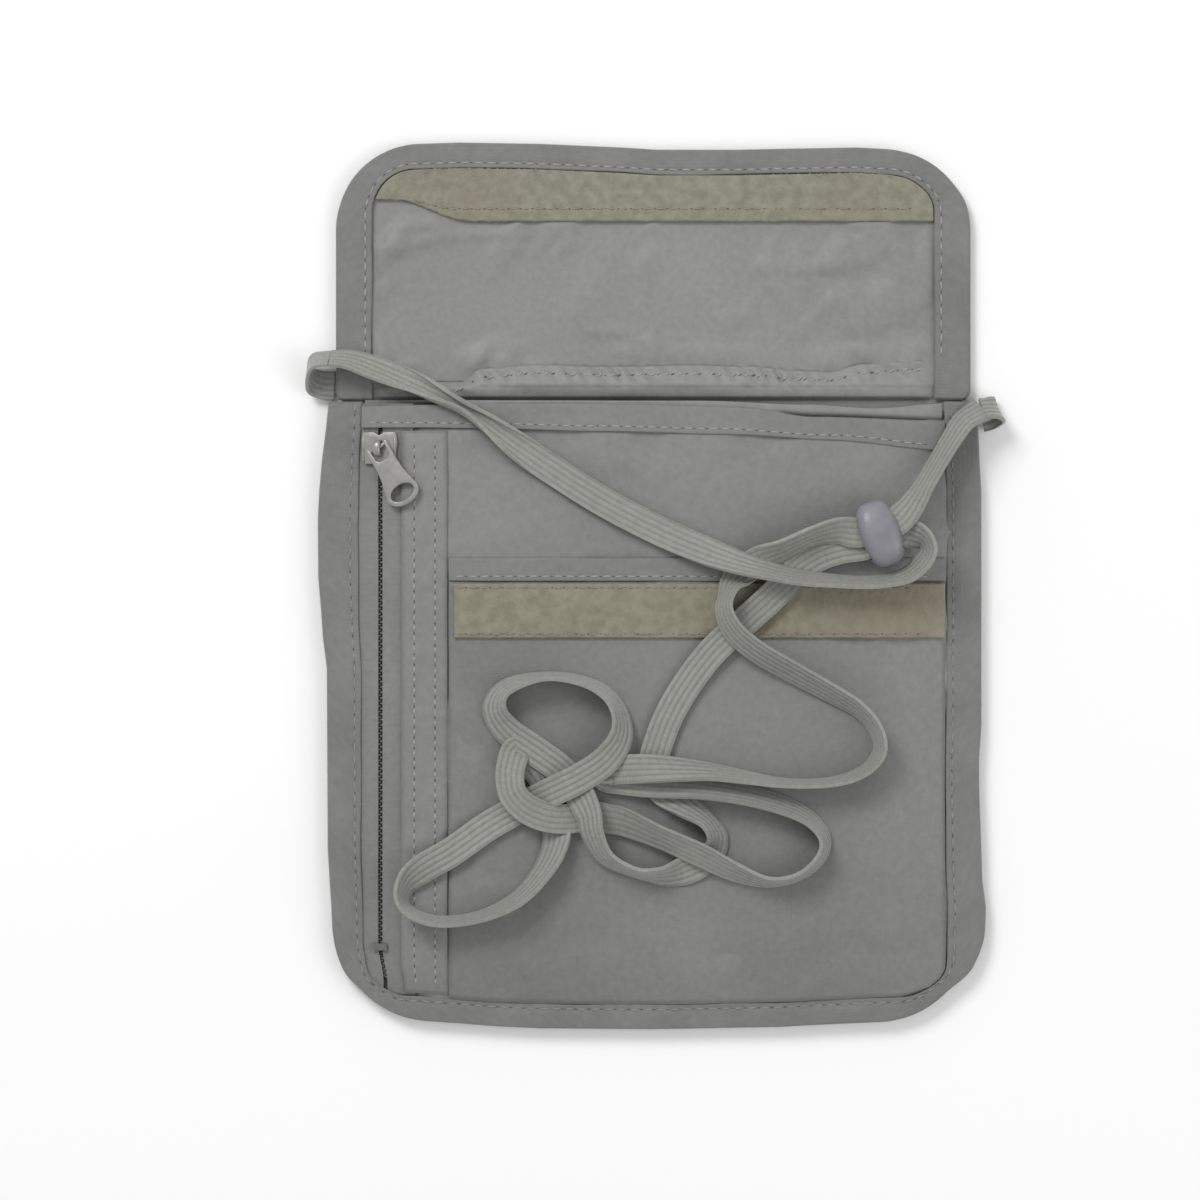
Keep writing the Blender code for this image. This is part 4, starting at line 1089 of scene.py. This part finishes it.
def make_front(materials):
    visible = BODY_INNER.inset(GAP, GAP, INNER_CORNER)

    def wall_z(x, y):
        share = min(ease((SEAM_X - x) / RISE), ease((x + 0.057) / 0.012))
        return between(*FRONT_LINING_Z, share * ease((y - SEAM_Y) / RISE))

    def wall(u, v):
        x = between(-BODY_SEAM.half, BODY_SEAM.half, u)
        y = between(BODY_SEAM.end, along(WALL_TOP, x) - 0.0034, v)
        x = x * BODY_SEAM.half_at(y) / BODY_SEAM.half
        return Vector((x, y, wall_z(x, y)))

    inner = add_piece("zip_pocket_wall", mapped_grid(70, 40, wall, (0.14, 0.137)), materials["lining"],
                      "lining_cloth")
    settle(inner)
    thicken(inner, LINING)
    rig.replaces(inner, "zip_pocket_lining")
    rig.ride(inner, "pouch")
    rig.sheet(inner, flat=(0.142, 0.137), held="stretched", rests_on=["body_binding"])

    def rolled_z(x, y):
        """The wall's own hem gapes behind the mouth's hem near both of its ends."""
        apart = smooth((x - GAPE_RIGHT) / 0.008) + smooth((GAPE_LEFT - x) / 0.004)
        depth = 0.5 * (wall_z(x, y) - FRONT_LINING_Z[0])
        valley = math.exp(-(((y - along(HEM_TOP, x) - 0.0003) / 0.0005) ** 2))
        return wall_z(x, y) + LINING - depth * apart * valley

    make_band("zip_pocket_wall_hem", (-0.0640, 0.0640), lambda x: along(WALL_TOP, x) - 0.0042,
              lambda x: along(WALL_TOP, x), rolled_z, 0.0005, materials["lining"], "lining_cloth",
              0.00018, 120, 16)

    front = make_panel("front_cloth", (TAPE_RIGHT + GAP, BODY_SEAM.half), (BODY_SEAM.end + GAP, 0.0355),
                       front_z, materials["taffeta"], FRONT_CREASES, 0.012, -0.0002, 0.0005, BODY_SEAM)
    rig.replaces(front, "front_panel")

    patch = make_panel("patch_pocket_cloth", POCKET, (visible.end, POCKET_TOP), over_front_z,
                       materials["patch"], PATCH_CREASES, 0.012, -0.0002, 0.00035, visible)
    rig.replaces(patch, "patch_pocket_panel")

    hem = make_band("mouth_hem_fold", (-MOUTH_HALF, MOUTH_HALF), lambda x: along(HEM_LOW, x),
                    lambda x: along(HEM_TOP, x), over_front_z, 0.0006, materials["hem"], "nylon_hem",
                    0.0002, 110, 8, 0.0002)
    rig.replaces(hem, "mouth_hem")

    pocket_hem = make_band("patch_pocket_hem_fold", POCKET, lambda x: POCKET_HEM[0],
                           lambda x: POCKET_HEM[1], over_front_z, 0.0008, materials["hem"], "nylon_hem",
                           0.00025, 90, 6, 0.0002)
    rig.replaces(pocket_hem, "patch_pocket_hem")

    facing = make_panel("zip_facing_cloth", FACING, FACING_ENDS, over_front_z, materials["taffeta"], [],
                        0.008, -0.0001, 0.0002, BODY_INNER)
    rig.replaces(facing, "zip_facing")


# Hook and loop tape: its thickness, and the pitch and the height of its tufts
PILE_THICK = 0.0008
TUFT_PITCH = 0.0005
TUFT_HEIGHT = 0.00014


def make_pile(name, sides, low, high, underside, material, body, outline=None):
    """Hook and loop tape: its napped face is a rough surface of tangled tufts."""
    columns = round((sides[1] - sides[0]) / TUFT_PITCH)
    rows = round((high(0) - low(0)) / TUFT_PITCH)

    def place(u, v):
        x = between(*sides, u)
        y = between(low(x), high(x), v)
        if outline:
            reach = outline.half_at(y)
            x = between(-reach, reach, u)
        rough = 0.0 if min(u, v, 1 - u, 1 - v) < 0.02 else CHANCE.uniform(-TUFT_HEIGHT, TUFT_HEIGHT)
        return Vector((x, y, underside(x, y) + PILE_THICK + rough))

    piece = add_piece(name, mapped_grid(columns, rows, place, (0.12, 0.012)), material, "hook_and_loop")
    settle(piece)
    thicken(piece, PILE_THICK, -1.0)
    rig.ride(piece, body)
    return piece


def make_strips():
    hook = pile_material("nylon_hook_tape", "#898673", "#7a7763", "#857a69")
    loop = pile_material("nylon_loop_tape", "#8c8a7a", "#7b7966", "#82796c")
    lower = make_pile("pocket_hook_tape", (POCKET[0] + HOOK_INSET, POCKET[1]), lambda x: HOOK_STRIP[0],
                      lambda x: HOOK_STRIP[1], over_pocket_z, hook, "pouch")
    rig.replaces(lower, "pocket_hook_strip")

    def loop_low(x):
        """The strip's lower edge runs up towards its left end."""
        return 0.0811 + 0.0048 * smooth((-0.040 - x) / 0.018)

    sewn = FLAP_INNER.inset(GAP, GAP, INNER_CORNER)
    upper = make_pile("flap_loop_tape", (-sewn.half, sewn.half), loop_low, lambda x: sewn.end,
                      lambda x, y: LOOP_STRIP_Z, loop, "flap", sewn)
    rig.replaces(upper, "flap_loop_strip")


# ---------------------------------------------------------------- binding tapes
# Shares of the tape's width: its back ends and its front starts where it turns round the edge
TAPE_BACK = 0.42
TAPE_FRONT = 0.58
TURN_START = 0.93
STITCH_PITCH = 0.0029
FURROW = 0.00022


def make_binding(name, outline, inner, height, inner_height, material, rows, node):
    """Grosgrain tape folded round the edge: along the back, round the edge, and along the front."""
    splits = outline.splits()
    tape = 2 * SIDE_COVER + height

    def section(u):
        """How far out the tape lies, as a share from its inner to its outer edge, and its height."""
        if u < TAPE_BACK:
            return u / TAPE_BACK * TURN_START, 0.0
        if u < TAPE_FRONT:
            turn = (u - 0.5) / (TAPE_FRONT - TAPE_BACK) * math.pi
            bulge = (1 - TURN_START) * math.cos(turn)
            return TURN_START + bulge, height * (0.5 + 0.5 * math.sin(turn))
        inwards = (u - TAPE_FRONT) / (1 - TAPE_FRONT)
        return TURN_START * (1 - inwards), between(height, inner_height, inwards)

    def place(u, v):
        share, level = section(u)
        base = inner.rim(v, splits)
        edge = outline.rim(v, splits)
        point = base.lerp(edge, share)
        wander = ripple(point.x, point.y, 0.016, 0.00035, 1.0 if u > 0.5 else 6.0) * (1 - share)
        point = point + (edge - base).normalized() * wander
        point.z = level
        if u > 0.52:
            dimple = ripple(point.x, point.y, 0.006, 0.00022, 9.0) * smooth(4 * min(share, 1 - share))
            pull = 0.5 + 0.5 * math.cos(math.tau * v * outline.length() / STITCH_PITCH)
            furrow = FURROW * (0.5 + pull) * math.exp(-(((share - STITCH_SHARE) / 0.12) ** 2))
            point.z += dimple - furrow
        return point

    bm = mapped_grid(30, rows, place, (tape, outline.length()))
    piece = add_piece(name, bm, material, "edge_binding")
    settle(piece)
    thicken(piece, CLOTH, -outline.way)
    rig.replaces(piece, node)
    return piece


def make_bindings(material):
    body = make_binding("body_binding_tape", BODY, BODY_INNER, BODY_EDGE_HEIGHT, BODY_INNER_HEIGHT, material,
                        520, "body_binding")
    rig.ride(body, "pouch")
    rooted = Outline(FLAP.half, FLAP.corner, FLAP.end, FLAP_TAPE_ROOT)
    inner = rooted.inset(SIDE_COVER, END_COVER, INNER_CORNER)
    flap = make_binding("flap_binding_tape", rooted, inner, FLAP_EDGE_HEIGHT, FLAP_INNER_HEIGHT, material,
                        380, "flap_binding")
    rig.blend(flap, "pouch", "flap", FOLD_START, FOLD_END)


# ---------------------------------------------------------------- stitching
# Stitch lines are laid on their cloth from this height, or from as far below it where it is under the pouch
CLEAR = 0.01


def spread_along(rows, line, pitch, start, shape, length, radius, slant):
    """Copies of a small shape at every pitch along a line."""
    lengths = [0.0]
    for a, b in zip(line, line[1:]):
        lengths.append(lengths[-1] + (b - a).length)
    spot = 0
    for number in range(int(lengths[-1] / pitch - start)):
        at = (number + start) * pitch + CHANCE.uniform(-0.0001, 0.0001)
        while lengths[spot + 1] < at:
            spot += 1
        share = (at - lengths[spot]) / (lengths[spot + 1] - lengths[spot])
        middle = line[spot].lerp(line[spot + 1], share)
        ahead = line[spot + 1] - line[spot]
        turn = math.atan2(ahead.y, ahead.x) + slant + CHANCE.uniform(-0.12, 0.12)
        tilt = -math.atan2(ahead.z, Vector((ahead.x, ahead.y)).length)
        before = len(rows.verts)
        rows.from_mesh(shape)
        rows.verts.ensure_lookup_table()
        place = (Matrix.Translation(middle) @ Matrix.Rotation(turn, 4, "Z") @ Matrix.Rotation(tilt, 4, "Y")
                 @ Matrix.Diagonal((length / 2, radius * 1.15, radius, 1)))
        bmesh.ops.transform(rows, matrix=place, verts=rows.verts[before:])


def laid_on(cloth, line):
    """A line moved down until it lies on the cloth named, or up against its underside from below."""
    way = 1 if line[0].z < 0 else -1
    tree = BVHTree.FromObject(bpy.data.objects[cloth], bpy.context.evaluated_depsgraph_get())
    laid = []
    for point in line:
        hit = tree.ray_cast(Vector((point.x, point.y, -way * 0.05)), Vector((0, 0, way)))[0]
        laid.append(Vector((point.x, point.y, hit.z if hit else point.z)))
    return laid


def make_stitches(name, lines, cloth, materials, body, pitch=0.0027, length=0.0017, radius=0.0002,
                  slot="nylon_hem", slant=0.0):
    """Rows of lockstitch: short rounded bars of thread, and between them small dark pieces of painted shade where the
    needle's dimples lie.
    """
    bar = bmesh.new()
    bmesh.ops.create_uvsphere(bar, u_segments=6, v_segments=4, radius=1.0)
    bmesh.ops.rotate(bar, cent=(0, 0, 0), matrix=Matrix.Rotation(math.pi / 2, 3, "Y"), verts=bar.verts)
    shape = bpy.data.meshes.new("stitch")
    bar.to_mesh(shape)
    bar.free()
    rows_on_cloth = [laid_on(cloth, [settled(point) for point in line]) for line in lines]
    for kind, material, start, reach, thick in (
        ("", materials[0], 0.5, length, radius),
        # The second set is painted shade: small dark pieces where the needle's dimples lie in shade.
        ("_dimples", materials[1], 1.0, pitch - length - 0.0003, radius * 0.55),
    ):
        rows = bmesh.new()
        for line in rows_on_cloth:
            spread_along(rows, line, pitch, start, shape, reach, thick, slant)
        piece = add_piece(name + kind, rows, material, slot)
        if body == "fold":
            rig.blend(piece, "pouch", "flap", FOLD_START, FOLD_END)
        else:
            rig.ride(piece, body)
    bpy.data.meshes.remove(shape)


def across(sides, height, steps=60):
    """A line across the pouch, above it. Its y is height(x)."""
    xs = [between(*sides, i / steps) for i in range(steps + 1)]
    return [Vector((x, height(x), CLEAR)) for x in xs]


def down(x, ends, steps=60):
    return [Vector((x, between(*ends, i / steps), CLEAR)) for i in range(steps + 1)]


def round_edge(outline, inner, share, level, start=0.0, end=1.0, steps=260):
    """A line round a binding, share of the way from its inner edge to its outer one."""
    splits = outline.splits()
    points = []
    for i in range(steps + 1):
        v = between(start, end, i / steps)
        point = inner.rim(v, splits).lerp(outline.rim(v, splits), share)
        point.z = level
        points.append(point)
    return points


def make_all_stitches():
    # Spun polyester thread: soft and pale against the cloth that it holds down.
    pale = plain_material("polyester_thread_pale", "#979692", 0.6, 0.0006, 0.00002, Sheen_Weight=0.3)
    grey = plain_material("polyester_thread_grey", "#868684", 0.6, 0.0006, 0.00002, Sheen_Weight=0.3)
    khaki = plain_material("polyester_thread_khaki", "#87846f", 0.7, 0.0006, 0.00002)
    # Cloth drawn down by the needle, painted dark: its colour is painted shade for the needle's dimples. Matt.
    dimple = plain_material("needle_dimple", "#5a5a58", 0.9, 0.0006, 0.00002)

    pocket = (POCKET[0] + HOOK_INSET, POCKET[1] - 0.001)
    hem = [across((-0.0635, 0.0635), lambda x: along(HEM_LOW, x) + 0.0011)]
    make_stitches("mouth_hem_stitches", hem, "mouth_hem_fold", (pale, dimple), "pouch")
    pocket_hem = [across(pocket, lambda x: POCKET_HEM[0] + 0.001)]
    make_stitches("patch_hem_stitches", pocket_hem, "patch_pocket_hem_fold", (pale, dimple), "pouch")
    strip = [across(pocket, lambda x: HOOK_STRIP[0] + 0.0008),
             across(pocket, lambda x: HOOK_STRIP[1] - 0.0009)]
    make_stitches("hook_tape_stitches", strip, "pocket_hook_tape", (khaki, dimple), "pouch")
    facing = [down(x, (-0.0895, 0.0335)) for x in (-0.0528, -0.0482)]
    make_stitches("zip_facing_stitches", facing, "zip_facing_cloth", (pale, dimple), "pouch", 0.0023, 0.0012,
                  0.00024)
    loop = [across((-0.0560, 0.0600), lambda x: 0.0838 + 0.003 * smooth((-0.044 - x) / 0.015))]
    make_stitches("loop_tape_stitches", loop, "flap_loop_tape", (khaki, dimple), "flap")
    seam = [across((-0.0600, 0.0620), lambda x: along(SEAM_EDGE, x) - 0.0019)]
    make_stitches("lining_seam_stitches", seam, "compartment_lining", (pale, dimple), "fold", 0.0030, 0.0017,
                  0.00022, "lining_cloth", 0.45)
    body_rows = [round_edge(BODY, BODY_INNER, STITCH_SHARE, level) for level in (CLEAR, -CLEAR)]
    make_stitches("body_binding_stitches", body_rows, "body_binding_tape", (grey, dimple), "pouch",
                  STITCH_PITCH, 0.0018, 0.0002, "edge_binding")
    flap_rows = [round_edge(FLAP, FLAP_INNER, STITCH_SHARE, level, 0.03, 0.97) for level in (CLEAR, -CLEAR)]
    make_stitches("flap_binding_stitches", flap_rows, "flap_binding_tape", (pale, dimple), "flap",
                  STITCH_PITCH, 0.0018, 0.0002, "edge_binding")


# ---------------------------------------------------------------- the zip
def slider_frame():
    """The slider's own frame: its origin in the middle of the zip, on top of the tapes."""
    turn = Matrix.Rotation(-SLIDER_TILT, 4, "Y")
    return Matrix.Translation((ZIP_X, SLIDER_Y, front_top(ZIP_X, SLIDER_Y))) @ turn


# The coils' teeth: how many a side, their pitch, the first one's y, and one's half sizes
TEETH = 104
TOOTH_PITCH = 0.0012
TOOTH_TOP = 0.0372
TOOTH_X = 0.00055
TOOTH_DROP = 0.0005
TOOTH_HALF = (0.0010, 0.00036, 0.00048)


def make_zip(materials):
    tapes = (("left", -BODY_SEAM.half, ZIP_X - ZIP_GAP / 2), ("right", ZIP_X + ZIP_GAP / 2, TAPE_RIGHT))
    for side, low, high in tapes:

        def place(u, v):
            """The tapes roll down where they meet."""
            y = between(*ZIP_ENDS, v)
            x = between(max(low, -BODY_SEAM.half_at(y)), high, u)
            roll = math.exp(-(((x - ZIP_X) / 0.0011) ** 2)) * 0.00025
            return Vector((x, y, front_top(x, y) - roll + ripple(x * 3, y, 0.012, 0.00012, 11.0)))

        bm = mapped_grid(14, 70, place, (high - low, ZIP_ENDS[1] - ZIP_ENDS[0]))
        tape = add_piece(f"zip_tape_{side}_woven", bm, materials["zip_tape"], "zip_tape")
        settle(tape)
        thicken(tape, CLOTH, -1.0, 0.0001)
        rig.replaces(tape, f"zip_tape_{side}")
        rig.ride(tape, "pouch")

    # Nylon monofilament, coiled: dark and half glossy, so that each turn catches a small light.
    nylon = plain_material("moulded_nylon_coil", "#646563", 0.4, 0.001, 0.00002)
    bar = bmesh.new()
    bmesh.ops.create_uvsphere(bar, u_segments=8, v_segments=5, radius=1.0)
    tooth = bpy.data.meshes.new("tooth")
    bar.to_mesh(tooth)
    bar.free()
    for side, mirror, offset in (("left", -1, 0.0), ("right", 1, 0.5)):
        teeth = bmesh.new()
        x = ZIP_X + mirror * TOOTH_X
        for number in range(TEETH):
            y = TOOTH_TOP - TOOTH_PITCH * (number + offset)
            middle = settled(Vector((x, y, front_z(x, y) - GAP - TOOTH_DROP)))
            before = len(teeth.verts)
            teeth.from_mesh(tooth)
            teeth.verts.ensure_lookup_table()
            place = (Matrix.Translation(middle) @ Matrix.Rotation(-SLIDER_TILT, 4, "Y")
                     @ Matrix.Diagonal((*TOOTH_HALF, 1)))
            bmesh.ops.transform(teeth, matrix=place, verts=teeth.verts[before:])
        coil = add_piece(f"zip_coil_{side}_teeth", teeth, nylon, "zip_coil")
        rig.replaces(coil, f"zip_coil_{side}")
        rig.ride(coil, "pouch")
    bpy.data.meshes.remove(tooth)
    for node in ("zip_top_stop_left", "zip_top_stop_right"):
        frame["nodes"][node].material_slots[0].material = materials["lacquer"]
    frame["nodes"]["zip_bottom_stop"].material_slots[0].material = materials["dull_lacquer"]


def put_in_frame(piece, matrix):
    piece.data.transform(matrix)
    piece.data.update()


def add_block(bm, size, middle):
    """A block of the given size round its middle."""
    corners = bmesh.ops.create_cube(bm, size=1.0)["verts"]
    bmesh.ops.scale(bm, vec=size, verts=corners)
    bmesh.ops.translate(bm, vec=middle, verts=corners)


# The slider's parts, in its own frame: size and middle
PLATE = ((0.0082, 0.0070, 0.0007), (0, 0, 0.00075))
RAIL_SIZE = (0.00045, 0.0052, 0.0009)
RAIL_X = 0.00365
KEEPER = ((0.0044, 0.0055, 0.0004), (0, 0, -0.00215))
POST = ((0.0003, 0.0024, 0.0028), (0, 0, -0.0008))
# The bridge's arch, as y and z of its middle, and its section's half width and half height
ARCH = [(-0.00160, 0.0006), (-0.00160, 0.0018), (-0.00135, 0.0025), (-0.0007, 0.00288), (0.0, 0.00294),
        (0.0007, 0.00288), (0.00135, 0.0025), (0.00160, 0.0018), (0.00160, 0.0006)]
ARCH_HALF = (0.0008, 0.00030, 1)


def make_slider(metal):
    """The slider: a plate with flared shoulders and rolled side flanges, and its arched bridge."""
    plate = bmesh.new()
    add_block(plate, *PLATE)
    bmesh.ops.subdivide_edges(plate, edges=plate.edges, cuts=5, use_grid_fill=True)
    for vertex in plate.verts:
        x, y, z = vertex.co
        taper = 0.82 + 0.18 * smooth((y + 0.0035) / 0.005)
        vertex.co.x = x * taper * (1 - 0.08 * smooth((y - 0.002) / 0.0015))
        vertex.co.z = z - 0.00025 * smooth((abs(x) - 0.0030) / 0.0011)
        notch = smooth(1 - abs(x) / 0.0012) * smooth((y - 0.0015) / 0.002)
        vertex.co.y = y - 0.0007 * notch
    piece = add_piece("zip_slider_plate", plate, metal, "zip_metal")
    round_edges(piece, 0.00022, 40)
    put_in_frame(piece, slider_frame())
    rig.replaces(piece, "zip_slider_body")
    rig.ride(piece, "zip_slider")

    rail = bmesh.new()
    for side in (-1, 1):
        add_block(rail, RAIL_SIZE, (side * RAIL_X, -0.0003, 0.0006))
    add_block(rail, *KEEPER)
    add_block(rail, *POST)
    bmesh.ops.bevel(rail, geom=rail.edges, offset=0.00012, offset_type="OFFSET", segments=2, profile=0.5,
                    affect="EDGES", material=-1)
    rails = add_piece("zip_slider_flanges", rail, metal, "zip_metal")
    put_in_frame(rails, slider_frame())
    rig.ride(rails, "zip_slider")

    oval = bmesh.new()
    bmesh.ops.create_circle(oval, cap_ends=True, segments=12, radius=1.0)
    bmesh.ops.scale(oval, vec=ARCH_HALF, verts=oval.verts)
    bmesh.ops.rotate(oval, cent=(0, 0, 0), matrix=Matrix.Rotation(math.pi / 2, 3, "X"), verts=oval.verts)
    section = [vertex.co.copy() for vertex in oval.verts]
    oval.free()
    arch = bmesh.new()
    rings = []
    for i, (y, z) in enumerate(ARCH):
        y0, z0 = ARCH[max(i - 1, 0)]
        y1, z1 = ARCH[min(i + 1, len(ARCH) - 1)]
        turn = math.atan2(z1 - z0, y1 - y0)
        ring = []
        for co in section:
            rolled = Matrix.Rotation(turn, 3, "X") @ Vector((co.x, 0, co.z))
            ring.append(arch.verts.new(Vector((rolled.x, rolled.y + y, rolled.z + z))))
        rings.append([arch.edges.new((a, b)) for a, b in zip(ring, ring[1:] + ring[:1])])
    for one, two in zip(rings, rings[1:]):
        bmesh.ops.bridge_loops(arch, edges=one + two)
    bmesh.ops.holes_fill(arch, edges=arch.edges)
    bmesh.ops.recalc_face_normals(arch, faces=arch.faces)
    bridge = add_piece("zip_slider_bridge", arch, metal, "zip_metal")
    put_in_frame(bridge, slider_frame())
    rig.ride(bridge, "zip_slider")


# The pull, in its own frame on its pin: its right edge down to the ring, the fork's notch, and the ring
PIN_Z = 0.00205
PULL_RIGHT = [(0.0019, 0.0006), (0.0026, 0.0006), (0.0027, -0.0020), (0.00265, -0.0045), (0.0029, -0.0070),
              (0.0035, -0.0095)]
PULL_NOTCH = [(-0.0017, -0.0024), (-0.0010, -0.0031), (0.0010, -0.0031), (0.0017, -0.0024)]
RING_Y = -0.0114
RING_HALF = (0.0040, 0.0028)
HOLE_HALF = (0.0029, 0.0018)
PIN_RADIUS = 0.0004
PIN_LENGTH = 0.0042


def on_ring(half, angle):
    return half[0] * math.cos(angle), RING_Y - half[1] * math.sin(angle)


def make_pull(metal):
    """The pull: a forked leaf that widens to an oval ring, on a pin through the bridge."""
    turn = Matrix.Rotation(math.radians(30), 4, "Z") @ Matrix.Rotation(math.radians(2), 4, "X")
    place = slider_frame() @ Matrix.Translation((0, 0, PIN_Z)) @ turn
    arc = [on_ring(RING_HALF, i * math.pi / 16) for i in range(17)]
    outline = PULL_RIGHT + arc + [(-x, y) for x, y in reversed(PULL_RIGHT)] + PULL_NOTCH
    hole = [on_ring(HOLE_HALF, i * math.tau / 32) for i in range(32)]
    flat = bpy.data.curves.new("pull_outline", "CURVE")
    flat.dimensions = "2D"
    flat.fill_mode = "BOTH"
    flat.extrude = 0.00028
    flat.bevel_depth = 0.0002
    flat.bevel_resolution = 2
    flat.offset = -0.0002
    for points in (outline, hole):
        spline = flat.splines.new("POLY")
        spline.points.add(len(points) - 1)
        for point, (x, y) in zip(spline.points, points):
            point.co = (x, y, 0, 1)
        spline.use_cyclic_u = True
    shape = bpy.data.objects.new("pull_outline", flat)
    SCENE.collection.objects.link(shape)
    mesh = bpy.data.meshes.new_from_object(shape.evaluated_get(bpy.context.evaluated_depsgraph_get()))
    bpy.data.objects.remove(shape)
    bm = bmesh.new()
    bm.from_mesh(mesh)
    bmesh.ops.remove_doubles(bm, verts=bm.verts, dist=1e-6)
    tab = add_piece("zip_pull_leaf", bm, metal, "zip_metal")
    put_in_frame(tab, place)
    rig.replaces(tab, "zip_pull_tab")
    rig.ride(tab, "zip_pull")

    rod = bmesh.new()
    bmesh.ops.create_cone(rod, cap_ends=True, segments=16, radius1=PIN_RADIUS, radius2=PIN_RADIUS,
                          depth=PIN_LENGTH, matrix=Matrix.Rotation(math.pi / 2, 4, "Y"))
    bmesh.ops.bevel(rod, geom=[e for e in rod.edges if e.calc_face_angle(0) > 1.0], offset=0.0001,
                    offset_type="OFFSET", segments=2, profile=0.5, affect="EDGES", material=-1)
    pin = add_piece("zip_pull_rod", rod, metal, "zip_metal")
    put_in_frame(pin, place)
    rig.replaces(pin, "zip_pull_pin")
    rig.ride(pin, "zip_pull_pin")


# ---------------------------------------------------------------- the bead
BEAD_TURN = math.radians(20)
BEAD_HALF = (0.0047, 0.0074, 0.0035)
BEAD_SQUARE = 0.6
BORE = (0.02, 0.0098, 0.0031)


def make_bead():
    """A moulded bead: a flattened barrel with one flat bore for both ends of the cord."""
    low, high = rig.box("cord_bead")
    # Moulded ABS, tumbled smooth: waxy, with one soft light and hardly any texture.
    plastic = plain_material("moulded_abs_bead", "#7f7f86", 0.45, 0.0025, 0.00003, IOR=1.53, Coat_Weight=0.12)
    ball = bmesh.new()
    bmesh.ops.create_uvsphere(ball, u_segments=48, v_segments=32, radius=1.0)
    for vertex in ball.verts:
        x, y, z = vertex.co
        x = math.copysign(abs(x) ** BEAD_SQUARE, x)
        vertex.co = Vector((x * BEAD_HALF[0], y * BEAD_HALF[1], z * BEAD_HALF[2]))
    bead = add_piece("sliding_bead", ball, plastic, "bead_plastic")
    bore = bmesh.new()
    add_block(bore, BORE, (0, 0, 0))
    long_edges = [e for e in bore.edges if abs((e.verts[1].co - e.verts[0].co).normalized().x) > 0.9]
    bmesh.ops.bevel(bore, geom=long_edges, offset=0.0007, offset_type="OFFSET", segments=4, profile=0.5,
                    affect="EDGES", material=-1)
    cutter = add_piece("bore_cutter", bore, plastic, "bead_plastic")
    cut = bead.modifiers.new("bore", "BOOLEAN")
    cut.object = cutter
    cut.solver = "EXACT"
    mesh = bpy.data.meshes.new_from_object(bead.evaluated_get(bpy.context.evaluated_depsgraph_get()))
    bead.modifiers.clear()
    bead.data = mesh
    bpy.data.objects.remove(cutter)
    round_edges(bead, 0.0003, 45)
    put_in_frame(bead, Matrix.Translation((low + high) / 2) @ Matrix.Rotation(BEAD_TURN, 4, "Z"))
    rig.replaces(bead, "cord_bead")
    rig.ride(bead, "bead")


set_the_stage()
MATERIALS = make_materials()
make_cord(MATERIALS["cord"])
make_cloth(MATERIALS)
make_flap_lining(MATERIALS)
make_front(MATERIALS)
make_strips()
make_bindings(MATERIALS["binding"])
make_all_stitches()
make_zip(MATERIALS)
make_slider(MATERIALS["lacquer"])
make_pull(MATERIALS["lacquer"])
make_bead()

bpy.context.view_layer.update()
with open("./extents.json", "w") as sizes:
    json.dump({"cad": CAD_BOX, "visual": [list(corner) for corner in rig.bounds()]}, sizes)
